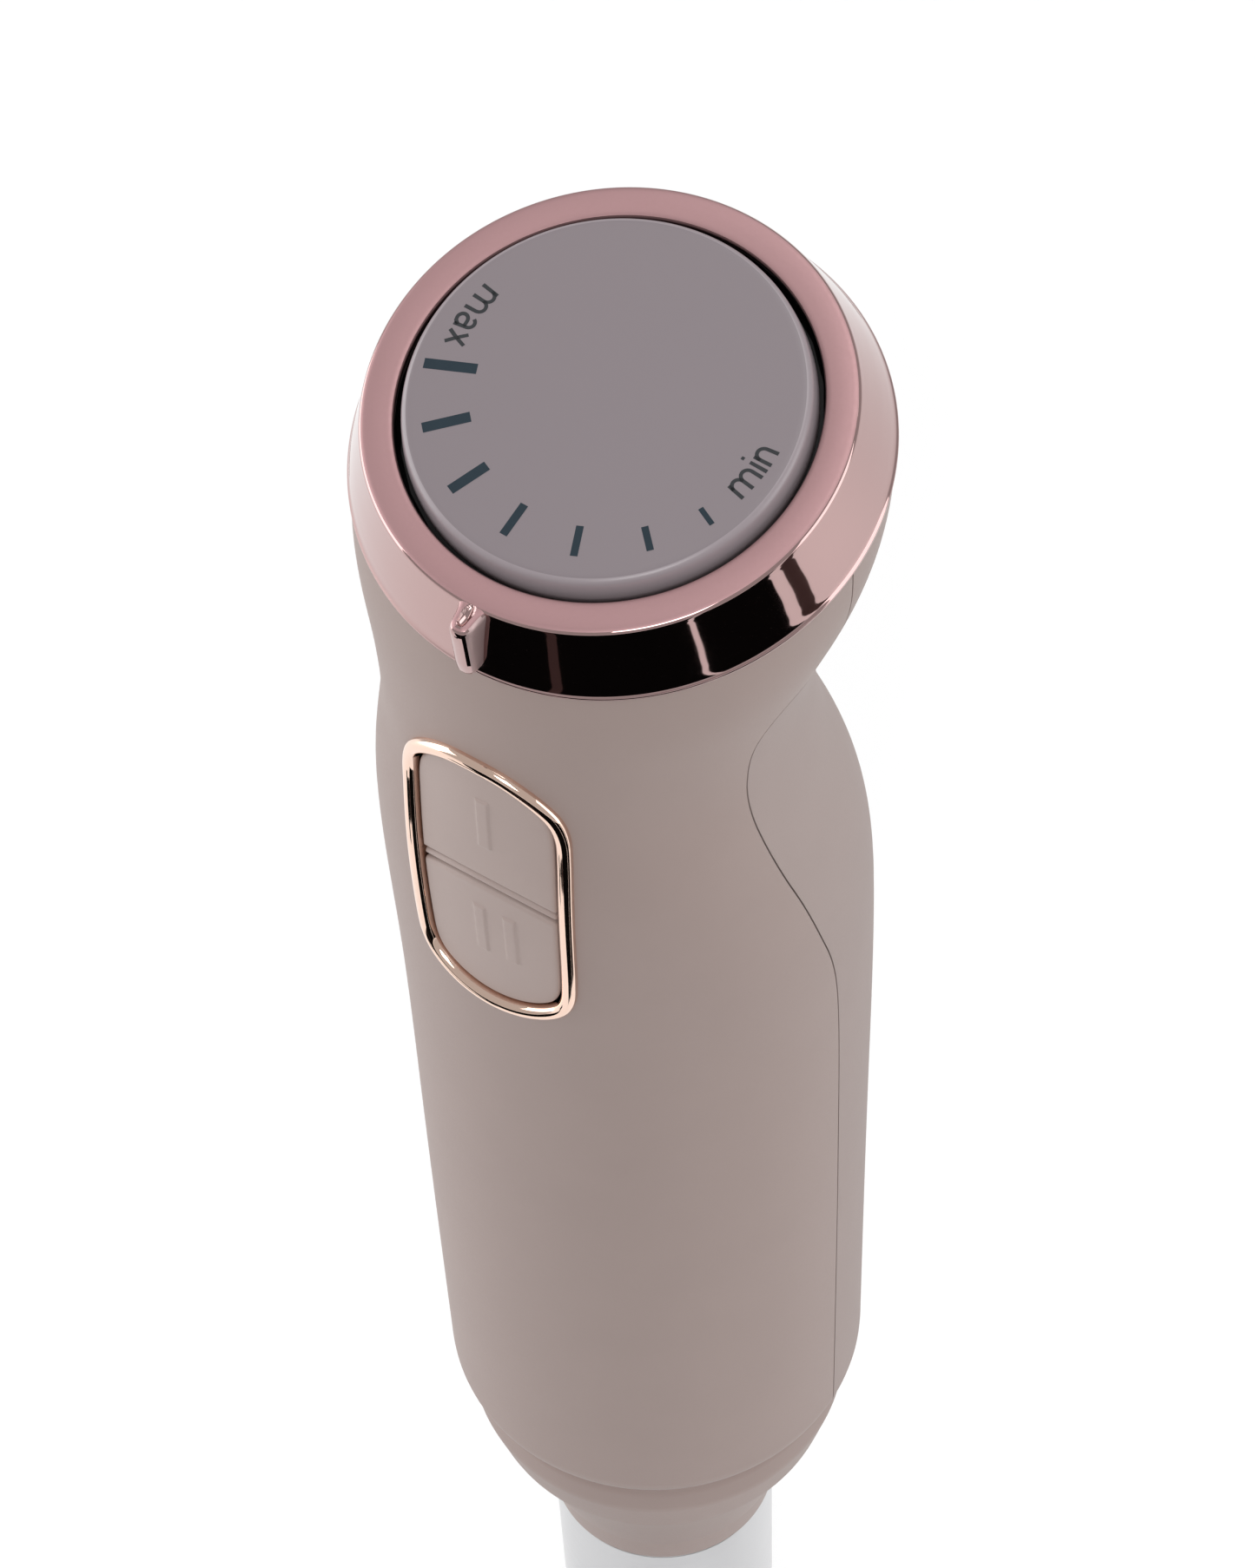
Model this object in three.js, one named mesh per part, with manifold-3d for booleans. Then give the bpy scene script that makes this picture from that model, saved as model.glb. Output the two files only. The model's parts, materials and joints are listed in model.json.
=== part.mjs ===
// Hand blender: motor unit with a tilted speed dial, detachable blending foot.
// Millimetres, +Z up, front (buttons) towards -Y, origin at the centre of the bell guard's rim.
import * as THREE from "three";
import { mergeVertices } from "three/addons/utils/BufferGeometryUtils.js";
import Module from "manifold-3d";

const wasm = await Module();
wasm.setup();

// ---------- driving dimensions ----------
const DIAL_Z = 396; // height of the dial disc's centre
const TILT = THREE.MathUtils.degToRad(11.9); // the dial leans forward by this much
const DISC_R = 24.4;
const DISC_TOP_R = 23.7;
const DISC_RISE = 2.7; // the disc's face stands this far above the ring
const RING_IN_R = 25.25;
const RING_CREASE_R = 29.05;
const RING_BASE_R = 32.64;
const RING_H = 10.6;
const WALL = 2.4; // shell wall
const GAP = 0.3; // clearance between touching pieces
// Outside of the motor unit: distance below the dial, radius, offset of the section towards +Y,
// and how far its front is flattened behind the buttons.
const SECTIONS = [
  [10.8, 32.3, 2.3, 0],
  [16, 32.1, 1.6, 0],
  [24, 30.5, -0.3, 0],
  [30, 28.5, -2.4, 0],
  [36, 26.9, -4.2, 0],
  [46, 26.25, -5.2, 0.25],
  [54, 27.1, -5.3, 1.2],
  [60, 27.9, -4.8, 1.5],
  [68, 29.1, -3.2, 1.2],
  [80, 30.25, -1.1, 0.65],
  [100, 30.35, 0.3, 0],
  [140, 29.6, 0.3, 0],
  [200.8, 28.45, 0.1, 0],
];
const UNIT_LENGTH = 206.3; // from the dial's centre to the lower end of the motor unit
const END_FILLET = 5.5;
const UNIT_Z = DIAL_Z - UNIT_LENGTH; // lower face of the motor unit
// Edge between front shell and rear grip, seen from the side: offset towards +Y, distance below the dial.
const SEAM = [
  [1.5, 215],
  [1.5, 140],
  [0.7, 100],
  [-0.6, 90],
  [-3.1, 80.6],
  [-5.5, 71.8],
  [-7.7, 64.2],
  [-9.8, 55.4],
  [-10.8, 49.4],
  [-11.1, 42.1],
  [-10, 34.5],
  [-6, 30.5],
  [0, 31],
  [10, 36.5],
  [20, 43.5],
  [45, 52],
];
const HEAD_SPLIT_Y = 1.8; // parting line on the side of the head
// Half of the bezel's outer edge, seen from the front: [x, distance below the dial].
const BEZEL_EDGE = [
  [0, 33],
  [3.4, 33.4],
  [6.4, 34.8],
  [9.2, 37.2],
  [11, 39.9],
  [11.85, 43.4],
  [12, 48],
  [12, 58],
  [11.85, 68],
  [11.65, 74.5],
  [11.3, 78.4],
  [10.2, 81.2],
  [8, 83.1],
  [4.6, 84.5],
  [0, 85.1],
];
const BUTTON_SPLIT = 58.2; // middle of the gap between the buttons, which arches down to the sides
const SPLIT_ARCH = 0.028;
const BELL_R = 36;
const FOOT_TUBE_R = 14.2;
const SOCKET_R = 16.3;
const SHAFT_R = 4;
const FOOT_SHAFT_R = 3;

// ---------- materials ----------
const COLOURS = {
  taupe: [0x9d8e89, 0, 0.6],
  grip: [0xa09490, 0, 0.75],
  rose: [0xcfa39d, 1, 0.15],
  copper: [0xd3a58f, 1, 0.2],
  dial: [0x948990, 0, 0.5],
  black: [0x1b1b1d, 0, 0.6],
  rubber: [0x2a2a2c, 0, 0.9],
  steel: [0xb9bcc0, 1, 0.3],
  lamination: [0x6d7278, 0.6, 0.5],
  wire: [0xb4622f, 0.8, 0.4],
  brass: [0xc7a252, 1, 0.35],
  carbon: [0x3a3a3d, 0.1, 0.8],
  board: [0x2f6b45, 0, 0.6],
  nylon: [0xe4dfd4, 0, 0.6],
};

const group = new THREE.Group();

function add(name, solid, colour) {
  const m = solid.simplify(0.04).getMesh();
  const g = new THREE.BufferGeometry();
  g.setAttribute("position", new THREE.BufferAttribute(new Float32Array(m.vertProperties), 3));
  g.setIndex(new THREE.BufferAttribute(new Uint32Array(m.triVerts), 1));
  g.computeVertexNormals();
  const [color, metalness, roughness] = COLOURS[colour];
  const mesh = new THREE.Mesh(g, new THREE.MeshStandardMaterial({ color, metalness, roughness }));
  mesh.name = name;
  group.add(mesh);
}

// ---------- shape helpers ----------
function solidOf(geometry) {
  geometry.deleteAttribute("normal");
  geometry.deleteAttribute("uv");
  const merged = mergeVertices(geometry, 1e-4);
  const triVerts = new Uint32Array(merged.index.array);
  const vertProperties = merged.attributes.position.array;
  const solid = new wasm.Manifold(new wasm.Mesh({ numProp: 3, vertProperties, triVerts }));
  if (solid.volume() > 0) return solid;
  for (let i = 0; i < triVerts.length; i += 3) {
    [triVerts[i], triVerts[i + 1]] = [triVerts[i + 1], triVerts[i]];
  }
  return new wasm.Manifold(new wasm.Mesh({ numProp: 3, vertProperties, triVerts }));
}

function box(x0, x1, y0, y1, z0, z1) {
  const g = new THREE.BoxGeometry(x1 - x0, y1 - y0, z1 - z0);
  g.translate((x0 + x1) / 2, (y0 + y1) / 2, (z0 + z1) / 2);
  return solidOf(g);
}

// A turned piece about Z; profile points are [radius, z].
function turned(profile, segments = 20) {
  const closed = profile.map(([r, z]) => new THREE.Vector2(r, z));
  const [first, last] = [profile[0], profile[profile.length - 1]];
  if (first[0] > 0 || last[0] > 0) closed.push(closed[0].clone());
  const g = new THREE.LatheGeometry(closed, segments);
  g.rotateX(Math.PI / 2);
  return solidOf(g);
}

function disc(r, z0, z1, segments = 20) {
  return turned([[0, z0], [r, z0], [r, z1], [0, z1]], segments);
}

function tube(rIn, rOut, z0, z1, segments = 20) {
  return turned([[rIn, z0], [rOut, z0], [rOut, z1], [rIn, z1]], segments);
}

// A plan outline [x, y] raised from z0 to z1.
function raised(points, z0, z1) {
  const shape = new THREE.Shape(points.map(([x, y]) => new THREE.Vector2(x, y)));
  const g = new THREE.ExtrudeGeometry(shape, { depth: z1 - z0, bevelEnabled: false });
  g.translate(0, 0, z0);
  return solidOf(g);
}

// A sector of a ring about Z, centred on an angle in degrees.
function sector(rIn, rOut, middle, half, z0, z1, steps = 10) {
  const points = [];
  const at = (r, a) => {
    const t = THREE.MathUtils.degToRad(a);
    points.push([r * Math.cos(t), r * Math.sin(t)]);
  };
  for (let i = 0; i <= steps; i++) at(rOut, middle - half + (2 * half * i) / steps);
  for (let i = steps; i >= 0; i--) at(rIn, middle - half + (2 * half * i) / steps);
  return raised(points, z0, z1);
}

// Turns a solid about Z by degrees.
function spun(solid, degrees) {
  return solid.rotate([0, 0, degrees]);
}

// Lays a piece made about +Z so that its +Z points along +Y.
function alongY(solid) {
  return solid.rotate([-90, 0, 0]);
}

// Moves a piece made in the dial's own frame onto the tilted head.
function onHead(solid) {
  return solid.rotate([THREE.MathUtils.radToDeg(TILT), 0, 0]).translate([0, 0, DIAL_Z]);
}

// ---------- motor unit outside ----------
const curve = new THREE.CubicInterpolant(
  new Float32Array(SECTIONS.map((s) => s[0])),
  new Float32Array(SECTIONS.flatMap((s) => s.slice(1))),
  3,
);

function section(s) {
  const [radius, offset, flat] = curve.evaluate(Math.min(s, 200.8));
  const tilt = TILT * THREE.MathUtils.clamp((50 - s) / 39.2, 0, 1);
  return { radius, offset, flat, tilt };
}

// Share of the flattening at an angle round the section: 1 in front, 0 from 60 degrees away.
function frontShare(angle) {
  const away = (angle - 1.5 * Math.PI) / (Math.PI / 3);
  return Math.abs(away) < 1 ? (1 - away * away) ** 2 : 0;
}

// Solid between two levels below the dial, its skin moved inwards by inset.
function bodySolid(levels, inset, segments) {
  const position = [];
  const index = [];
  levels.forEach(({ s, radius: fixed }) => {
    const { radius, offset, flat, tilt } = section(s);
    for (let i = 0; i < segments; i++) {
      const a = (2 * Math.PI * i) / segments;
      const r = (fixed ?? radius) - inset - flat * frontShare(a);
      position.push(
        r * Math.cos(a),
        offset + r * Math.sin(a) * Math.cos(tilt),
        DIAL_Z - s + r * Math.sin(a) * Math.sin(tilt),
      );
    }
  });
  const rows = levels.length;
  for (let j = 0; j < rows - 1; j++) {
    for (let i = 0; i < segments; i++) {
      const k = (i + 1) % segments;
      const [a, b, c, d] = [j * segments + i, j * segments + k, (j + 1) * segments + i, (j + 1) * segments + k];
      index.push(a, c, b, b, c, d);
    }
  }
  for (let i = 1; i < segments - 1; i++) {
    const base = (rows - 1) * segments;
    index.push(0, i, i + 1);
    index.push(base, base + i + 1, base + i);
  }
  const g = new THREE.BufferGeometry();
  g.setAttribute("position", new THREE.Float32BufferAttribute(position, 3));
  g.setIndex(index);
  return solidOf(g);
}

function outerLevels() {
  const levels = [10.8, 18, 25, 32, 39, 46, 54, 62, 71, 82, 100, 145, 200.8].map((s) => ({ s }));
  for (const a of [30, 60, 90]) {
    const t = THREE.MathUtils.degToRad(a);
    levels.push({ s: 200.8 + END_FILLET * Math.sin(t), radius: 28.45 - END_FILLET * (1 - Math.cos(t)) });
  }
  return levels;
}

function shellSolid() {
  const outer = bodySolid(outerLevels(), 0, 40);
  const innerLevels = [3, 16, 30, 46, 60, 76, 104, 200, 203.6].map((s) => ({
    s,
    radius: s < 10 ? 32.3 : s > 203 ? 27.4 : undefined,
  }));
  const inner = bodySolid(innerLevels, WALL, 28);
  return outer.subtract(inner).subtract(disc(22.6, UNIT_Z - 5, UNIT_Z + 8, 28));
}

// Prism through the whole width from a side view outline of [y, distance below the dial].
function sidePrism(points) {
  const shape = new THREE.Shape(points.map(([y, s]) => new THREE.Vector2(y, DIAL_Z - s)));
  const g = new THREE.ExtrudeGeometry(shape, { depth: 100, bevelEnabled: false });
  g.translate(0, 0, -50);
  // shape x -> Y, shape y -> Z, depth -> X
  g.applyMatrix4(new THREE.Matrix4().makeBasis(
    new THREE.Vector3(0, 1, 0),
    new THREE.Vector3(0, 0, 1),
    new THREE.Vector3(1, 0, 0),
  ));
  return solidOf(g);
}

// The seam moved square to itself; positive grows the grip.
function seamLine(grow) {
  return SEAM.map(([y, s], i) => {
    const a = SEAM[Math.max(i - 1, 0)];
    const b = SEAM[Math.min(i + 1, SEAM.length - 1)];
    const [dy, ds] = [b[0] - a[0], b[1] - a[1]];
    const length = Math.hypot(dy, ds);
    return [y + (grow * ds) / length, s - (grow * dy) / length];
  });
}

// Outline parallel to the bezel's outer edge, moved inwards by inset; points are [x, height below the dial].
function buttonOutline(inset) {
  const right = BEZEL_EDGE.map(([x, s]) => new THREE.Vector3(x, -s, 0));
  const left = right.slice(1, -1).reverse().map((p) => new THREE.Vector3(-p.x, p.y, 0));
  const edge = new THREE.CatmullRomCurve3([...right, ...left], true);
  const points = [];
  for (let i = 0; i < 44; i++) {
    const at = edge.getPointAt(i / 44);
    const along = edge.getTangentAt(i / 44);
    points.push(new THREE.Vector2(at.x + along.y * inset, at.y - along.x * inset));
  }
  return new THREE.Shape(points);
}

// Bar with the button group's outline, reaching from in front of the unit to depth y1.
function buttonBar(inset, y1) {
  const g = new THREE.ExtrudeGeometry(buttonOutline(inset), { depth: 50, bevelEnabled: false });
  g.rotateX(Math.PI / 2);
  g.translate(0, y1, DIAL_Z);
  return solidOf(g);
}

// Layer of the unit's front between two depths under its skin.
function skinLayer(outside, inside) {
  const levels = [28, 36, 43, 50, 57, 64, 71, 79, 88].map((s) => ({ s }));
  const deep = [26, ...levels.map((l) => l.s), 90].map((s) => ({ s }));
  return bodySolid(levels, outside, 60).subtract(bodySolid(deep, inside, 60));
}

function shells() {
  const shell = shellSolid();
  const gripRegion = (grow) => sidePrism([...seamLine(grow), [80, 52], [80, 215]]);
  const headRegion = (grow) => sidePrism([[HEAD_SPLIT_Y - grow, -10], [80, -10], [80, 52], [HEAD_SPLIT_Y - grow, 52]]);
    const gland = alongY(disc(6.8, 10, 60, 16)).translate([0, 0, DIAL_Z - 36]);
  const grip = shell.intersect(gripRegion(0)).subtract(gland);
  const cover = shell.intersect(headRegion(0)).subtract(gripRegion(GAP)).subtract(gland);
  let front = shell.subtract(gripRegion(GAP)).subtract(headRegion(GAP)).subtract(buttonBar(-GAP, -12));
  for (const x of [-19, 19]) {
    const boss = alongY(disc(3.4, -21.5, -1, 16)).translate([x, 0, DIAL_Z - 80]);
    const bore = alongY(disc(1.7, -16, 2, 12)).translate([x, 0, DIAL_Z - 80]);
    front = front.add(boss).subtract(bore);
  }
  add("front_shell", front, "taupe");
  add("rear_grip_shell", grip, "grip");
  add("rear_head_cover", cover, "taupe");
  for (const [i, x] of [-19, 19].entries()) {
    const screw = disc(1.4, -14, 3, 12).add(disc(2.8, 0.2, 3, 12));
    add(`shell_screw_${i + 1}`, alongY(screw).translate([x, 0, DIAL_Z - 80]), "steel");
  }
}

// Everything in front of the unit between two levels that arch down to the sides.
function archedBand(s0, s1) {
  const points = [];
  const steps = [-14, -10.5, -7, -3.5, 0, 3.5, 7, 10.5, 14];
  for (const x of steps) points.push(new THREE.Vector2(x, -(s0 + SPLIT_ARCH * x * x)));
  for (const x of steps.reverse()) points.push(new THREE.Vector2(x, -(s1 + SPLIT_ARCH * x * x)));
  const g = new THREE.ExtrudeGeometry(new THREE.Shape(points), { depth: 50, bevelEnabled: false });
  g.rotateX(Math.PI / 2);
  g.translate(0, -10, DIAL_Z);
  return solidOf(g);
}

function buttons() {
  const bezel = skinLayer(-1.2, 1.6).intersect(buttonBar(0, -14)).subtract(buttonBar(1.5, -10));
  add("button_bezel", bezel, "copper");
  const plate = skinLayer(0.1, 2.7).intersect(buttonBar(1.8, -14));
  const half = 1;
  const stem = (s) => alongY(disc(1.9, -29.6, -22.9, 16)).translate([0, 0, DIAL_Z - s]);
  add("button_1", plate.intersect(archedBand(20, BUTTON_SPLIT - half - GAP)).add(stem(47)), "taupe");
  add("button_2", plate.intersect(archedBand(BUTTON_SPLIT + half + GAP, 100)).add(stem(70)), "taupe");
  const bar = skinLayer(0.1, 3.4).intersect(buttonBar(1.8, -14));
  add("button_divider", bar.intersect(archedBand(BUTTON_SPLIT - half, BUTTON_SPLIT + half)), "taupe");
}

// ---------- speed dial ----------
function ringProfile() {
  return [
    [RING_IN_R, -6.5],
    [RING_IN_R + 1.4, -6.5],
    [RING_IN_R + 1.4, -1.7],
    [RING_CREASE_R - 1.6, -1.7],
    [RING_BASE_R - 1.5, -RING_H],
    [RING_BASE_R - 0.3, -RING_H],
    [RING_BASE_R, -RING_H + 0.4],
    [31.35, -6.2],
    [29.85, -1.5],
    [29.45, -0.3],
    [RING_CREASE_R, 0.2],
    [28.4, 0.45],
    [26.6, 0.6],
    [RING_IN_R, 0.2],
  ];
}

// Upright rib in front of the ring's flank, level with its top, that points at the scale.
function pointerRib() {
  const plan = [[-28.2, 0], [-28.2, 2.9], [-29.3, 2.3], [-30.4, 1.7], [-32.2, 1.45], [-33, 1], [-33.4, 0.4]];
  const right = plan.slice(1).map(([y, x]) => [x, y]);
  const left = plan.slice(1).reverse().map(([y, x]) => [-x, y]);
  const tip = raised([...right, ...left], -RING_H + 0.3, 0.1);
  const side = new THREE.Shape();
  side.moveTo(-28.2, -1.5);
  side.lineTo(-28.2, 0.2);
  side.lineTo(-40, 0.05);
  side.lineTo(-40, -RING_H + 0.2);
  side.lineTo(-31.4, -RING_H + 0.2);
  const g = new THREE.ExtrudeGeometry(side, { depth: 8, bevelEnabled: false });
  g.translate(0, 0, -4);
  g.applyMatrix4(new THREE.Matrix4().makeBasis(
    new THREE.Vector3(0, 1, 0),
    new THREE.Vector3(0, 0, 1),
    new THREE.Vector3(1, 0, 0),
  ));
  return tip.intersect(solidOf(g));
}

function dial() {
  add("speed_ring", onHead(turned(ringProfile(), 48).add(pointerRib())), "rose");
  const hub = turned([[7.4, -6.5], [24.9, -6.5], [24.9, -4.5], [7.4, -4.5]], 28);
  add("ring_hub", onHead(hub), "black");
  add("dust_seal", onHead(tube(22.4, 24.9, -4.2, -2.4, 28)), "rubber");
  const wiper = box(-5, 5, 14.6, 19.4, -7.6, -6.8).add(box(-4.6, -3.4, 15, 19, -8.05, -7.5)).add(
    box(3.4, 4.6, 15, 19, -8.05, -7.5),
  );
  add("contact_wiper", onHead(wiper), "brass");
  const edge = [[DISC_R, -2.1], [DISC_R, -0.4], [DISC_TOP_R + 0.3, 1.4], [DISC_TOP_R - 0.1, DISC_RISE - 0.5]];
  const top = turned([[0, -2.1], ...edge, [DISC_TOP_R - 0.8, DISC_RISE], [0, DISC_RISE]], 48);
  add("dial_disc", onHead(top.add(disc(3.8, -9, -1, 16))), "dial");
  const track = tube(9, 23, -9.9, -8.35, 24);
  add("track_board", onHead(track), "board");
  const base = turned(
    [[4.1, -13.6], [28, -13.6], [28.6, -11.4], [24.2, -10.2], [8.6, -10.2], [8.6, -6.8], [7, -6.8], [7, -2.4], [4.1, -2.4]],
    28,
  );
  add("head_carrier", onHead(base), "black");
}

// ---------- electronics in the neck ----------
function electronics() {
  const z = DIAL_Z;
  let tray = disc(22.6, z - 74.5, z - 72, 24).intersect(box(-30, 30, -13, 30, 0, 400)).translate([0, -0.6, 0]);
  let board = disc(20.5, z - 69.5, z - 67.9, 24).intersect(box(-30, 30, -12.4, 30, 0, 400));
  // Stepped pillars on the tray carry the board.
  const pillar = disc(2.6, z - 72.5, z - 69.8, 12).add(disc(1.5, z - 72.5, z - 66.6, 12));
  for (const [x, y] of [[-15, -4], [15, -4], [0, 14]]) {
    tray = tray.add(pillar.translate([x, y, 0]));
    board = board.subtract(disc(1.8, 0, 400, 12).translate([x, y, 0]));
  }
  add("electronics_tray", tray, "black");
  add("control_board", board, "board");
  add("capacitor", turned([[0, 0], [5, 0], [5, 13.4], [4.4, 14], [0, 14]], 24).translate([-8, 7, z - 67.6]), "black");
  add("triac", box(4, 14, 2, 3.6, z - 67.6, z - 55), "black");
  let sink = box(3, 15, 3.9, 5.4, z - 67.6, z - 50);
  for (const x of [3, 6.5, 10, 13.5]) sink = sink.add(box(x, x + 1.5, 5, 10.5, z - 67.6, z - 50));
  add("heat_sink", sink, "lamination");
  add("terminal_block", box(-4, 4, 11.4 - 20, 17.4 - 20, z - 67.6, z - 60), "nylon");
  add("switch_board", box(-9.5, 9.5, -15.6, -14, z - 80, z - 38), "board");
  for (const [i, s] of [47, 70].entries()) {
    const body = box(-5.5, 5.5, -21.2, -15.9, z - s - 4, z - s + 4);
    const plunger = alongY(disc(1.2, -21.4, -20.8, 12)).translate([0, 0, z - s]);
    add(`micro_switch_${i + 1}`, body.add(plunger), "black");
  }
}

function cordGland() {
  const gland = turned(
    [[3.2, 17], [8, 17], [8, 18.9], [6.3, 19.2], [6.2, 27], [4.8, 35.6], [3.2, 35.6]],
    16,
  );
  add("cord_gland", alongY(gland).translate([0, 0, DIAL_Z - 36]), "rubber");
}

// ---------- motor ----------
const MOTOR = { low: 218, stator0: 242, stator1: 272, top: 302 };
const SCREW_AT = [45, 225];

function motor() {
  const corners = (r, half, z0, z1) =>
    SCREW_AT.map((a) => sector(18, r, a, half, z0, z1, 4)).reduce((a, b) => a.add(b));
  const holes = (r) =>
    SCREW_AT.map((a) => spun(disc(r, 0, 400, 8).translate([23.6, 0, 0]), a)).reduce((a, b) => a.add(b));
  const poles = (rIn, rOut, half, z0, z1) =>
    sector(rIn, rOut, 90, half, z0, z1, 8).add(sector(rIn, rOut, 270, half, z0, z1, 8));

  const core = tube(21, 24.4, MOTOR.stator0, MOTOR.stator1, 28)
    .add(poles(15.5, 21.4, 42, MOTOR.stator0, MOTOR.stator1))
    .add(corners(26, 9, MOTOR.stator0, MOTOR.stator1).subtract(disc(21, 0, 400, 28)))
    .subtract(holes(1.8));
  add("stator_core", core, "lamination");
  for (const [i, a] of [90, 270].entries()) {
    const coil = sector(16.4, 20.6, a, 60, MOTOR.stator0 - 5, MOTOR.stator1 + 5, 10).subtract(
      sector(14, 24, a, 43.5, MOTOR.stator0 - 0.4, MOTOR.stator1 + 0.4, 8),
    );
    add(`field_coil_${i + 1}`, coil, "wire");
  }

  // End frames with bearing seats, joined by two long screws.
  const windows = (z) =>
    [0, 90, 180, 270].map((a) => sector(12, 20, a, 26, z - 5, z + 8, 2)).reduce((a, b) => a.add(b));
  const lower = tube(8.3, 25, MOTOR.low, MOTOR.low + 3, 24)
    .add(tube(8.3, 10.6, MOTOR.low, MOTOR.low + 8, 20))
    .add(corners(26, 9, MOTOR.low, MOTOR.low + 3))
    .subtract(windows(MOTOR.low))
    .subtract(holes(1.8));
  add("lower_frame", lower, "steel");
  const upper = tube(8.3, 25, MOTOR.top, MOTOR.top + 3, 24)
    .add(tube(8.3, 10.6, MOTOR.top, MOTOR.top + 8, 20))
    .add(corners(26, 9, MOTOR.top, MOTOR.top + 3))
    .subtract(windows(MOTOR.top))
    .subtract(holes(1.8));
  add("upper_frame", upper, "steel");
  SCREW_AT.forEach((a, i) => {
    const rod = disc(1.5, MOTOR.low - 1.5, MOTOR.top + 3.3, 12).add(disc(2.7, MOTOR.top + 3.3, MOTOR.top + 5.5, 12));
    add(`motor_screw_${i + 1}`, spun(rod.translate([23.6, 0, 0]), a), "steel");
  });
  add("lower_bearing", tube(SHAFT_R + 0.1, 8, MOTOR.low + 1, MOTOR.low + 7.6, 20), "steel");
  add("upper_bearing", tube(SHAFT_R + 0.1, 8, MOTOR.top + 1, MOTOR.top + 7.6, 20), "steel");
  add("lower_mount", tube(20.6, 23.4, MOTOR.low - 4.4, MOTOR.low - 1.8, 24), "rubber");

  for (const [i, side] of [1, -1].entries()) {
    const holder = box(11.4, 22.5, -4.2, 4.2, 284, 293).subtract(box(5, 40, -3, 3, 285.2, 291.8));
    const post = box(15, 21, -6.6, -4.1, 284, MOTOR.top - 0.3);
    const turn = side === 1 ? 0 : 180;
    add(`brush_holder_${i + 1}`, spun(holder.add(post), turn), "brass");
    add(`carbon_brush_${i + 1}`, spun(box(9.3, 17, -2.7, 2.7, 285.5, 291.5), turn), "carbon");
  }
}

function rotor() {
  const slots = (r, depth, width, count, z0, z1) => {
    let all = null;
    for (let i = 0; i < count; i++) {
      const slot = spun(box(r - depth, r + 5, -width / 2, width / 2, z0 - 1, z1 + 1), (360 * i) / count);
      all = all ? all.add(slot) : slot;
    }
    return all;
  };
  add("motor_shaft", turned([[0, 204], [SHAFT_R, 204], [SHAFT_R, 309], [SHAFT_R - 0.6, 310], [0, 310]], 20), "steel");
  const core = tube(SHAFT_R + GAP, 15, MOTOR.stator0, MOTOR.stator1, 24);
  add("armature_core", core.subtract(slots(15, 5, 2, 12, MOTOR.stator0, MOTOR.stator1)), "lamination");
  const bulge = (z, up) =>
    turned([[SHAFT_R + GAP, 0], [12.6, 0], [13.6, 2], [12.4, 5], [8, 6.6], [SHAFT_R + GAP, 6.6]].map(([r, h]) => [r, z + up * h]), 20);
  add("armature_winding_lower", bulge(MOTOR.stator0 - GAP, -1), "wire");
  add("armature_winding_upper", bulge(MOTOR.stator1 + GAP, 1), "wire");
  const commutator = tube(SHAFT_R + GAP, 9, 282, 296, 24);
  add("commutator", commutator.subtract(slots(9, 0.9, 0.6, 12, 282, 296)), "brass");
  let fan = tube(SHAFT_R + GAP, 7, 227.5, 233.5, 16).add(tube(6.5, 20, 227.5, 228.9, 24));
  for (let i = 0; i < 8; i++) {
    fan = fan.add(spun(box(6, 19.6, -0.7, 0.7, 228, 233.5).rotate([0, 0, 12]), 45 * i));
  }
  add("cooling_fan", fan, "black");
  const cross = box(-5.4, 5.4, -1.5, 1.5, 199, 208).add(box(-1.5, 1.5, -5.4, 5.4, 199, 208));
  const dog = disc(7.4, 207.5, 214, 20).add(cross).subtract(disc(SHAFT_R + GAP, 203.7, 220, 20));
  add("drive_dog", dog, "nylon");
}

// Lower end of the motor unit with the socket for the foot and air slots around it.
function endCap() {
  const z = UNIT_Z;
  let cap = turned(
    [
      [SOCKET_R, z], [22.3, z], [22.3, z + 3.2], [24.6, z + 3.2], [24.6, z + 6], [23.2, z + 6], [23.2, 213.2],
      [20.8, 213.2], [20.8, z + 6], [18.4, z + 6], [18.4, 208.4], [8.2, 208.4], [8.2, 206], [SOCKET_R, 206],
    ],
    28,
  );
  for (let i = 0; i < 8; i++) {
    cap = cap.subtract(sector(18.9, 20.6, 22.5 + 45 * i, 15, z - 2, z + 8, 2));
  }
  for (const a of [45, 135, 225, 315]) {
    cap = cap.subtract(sector(19.5, 25, a, 18, 199, 209, 1));
  }
  const grooves = box(-18, 18, -3.3, 3.3, z - 2, 204.5).intersect(disc(17.6, 0, 400, 24));
  add("end_cap", cap.subtract(grooves), "black");
}

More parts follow.
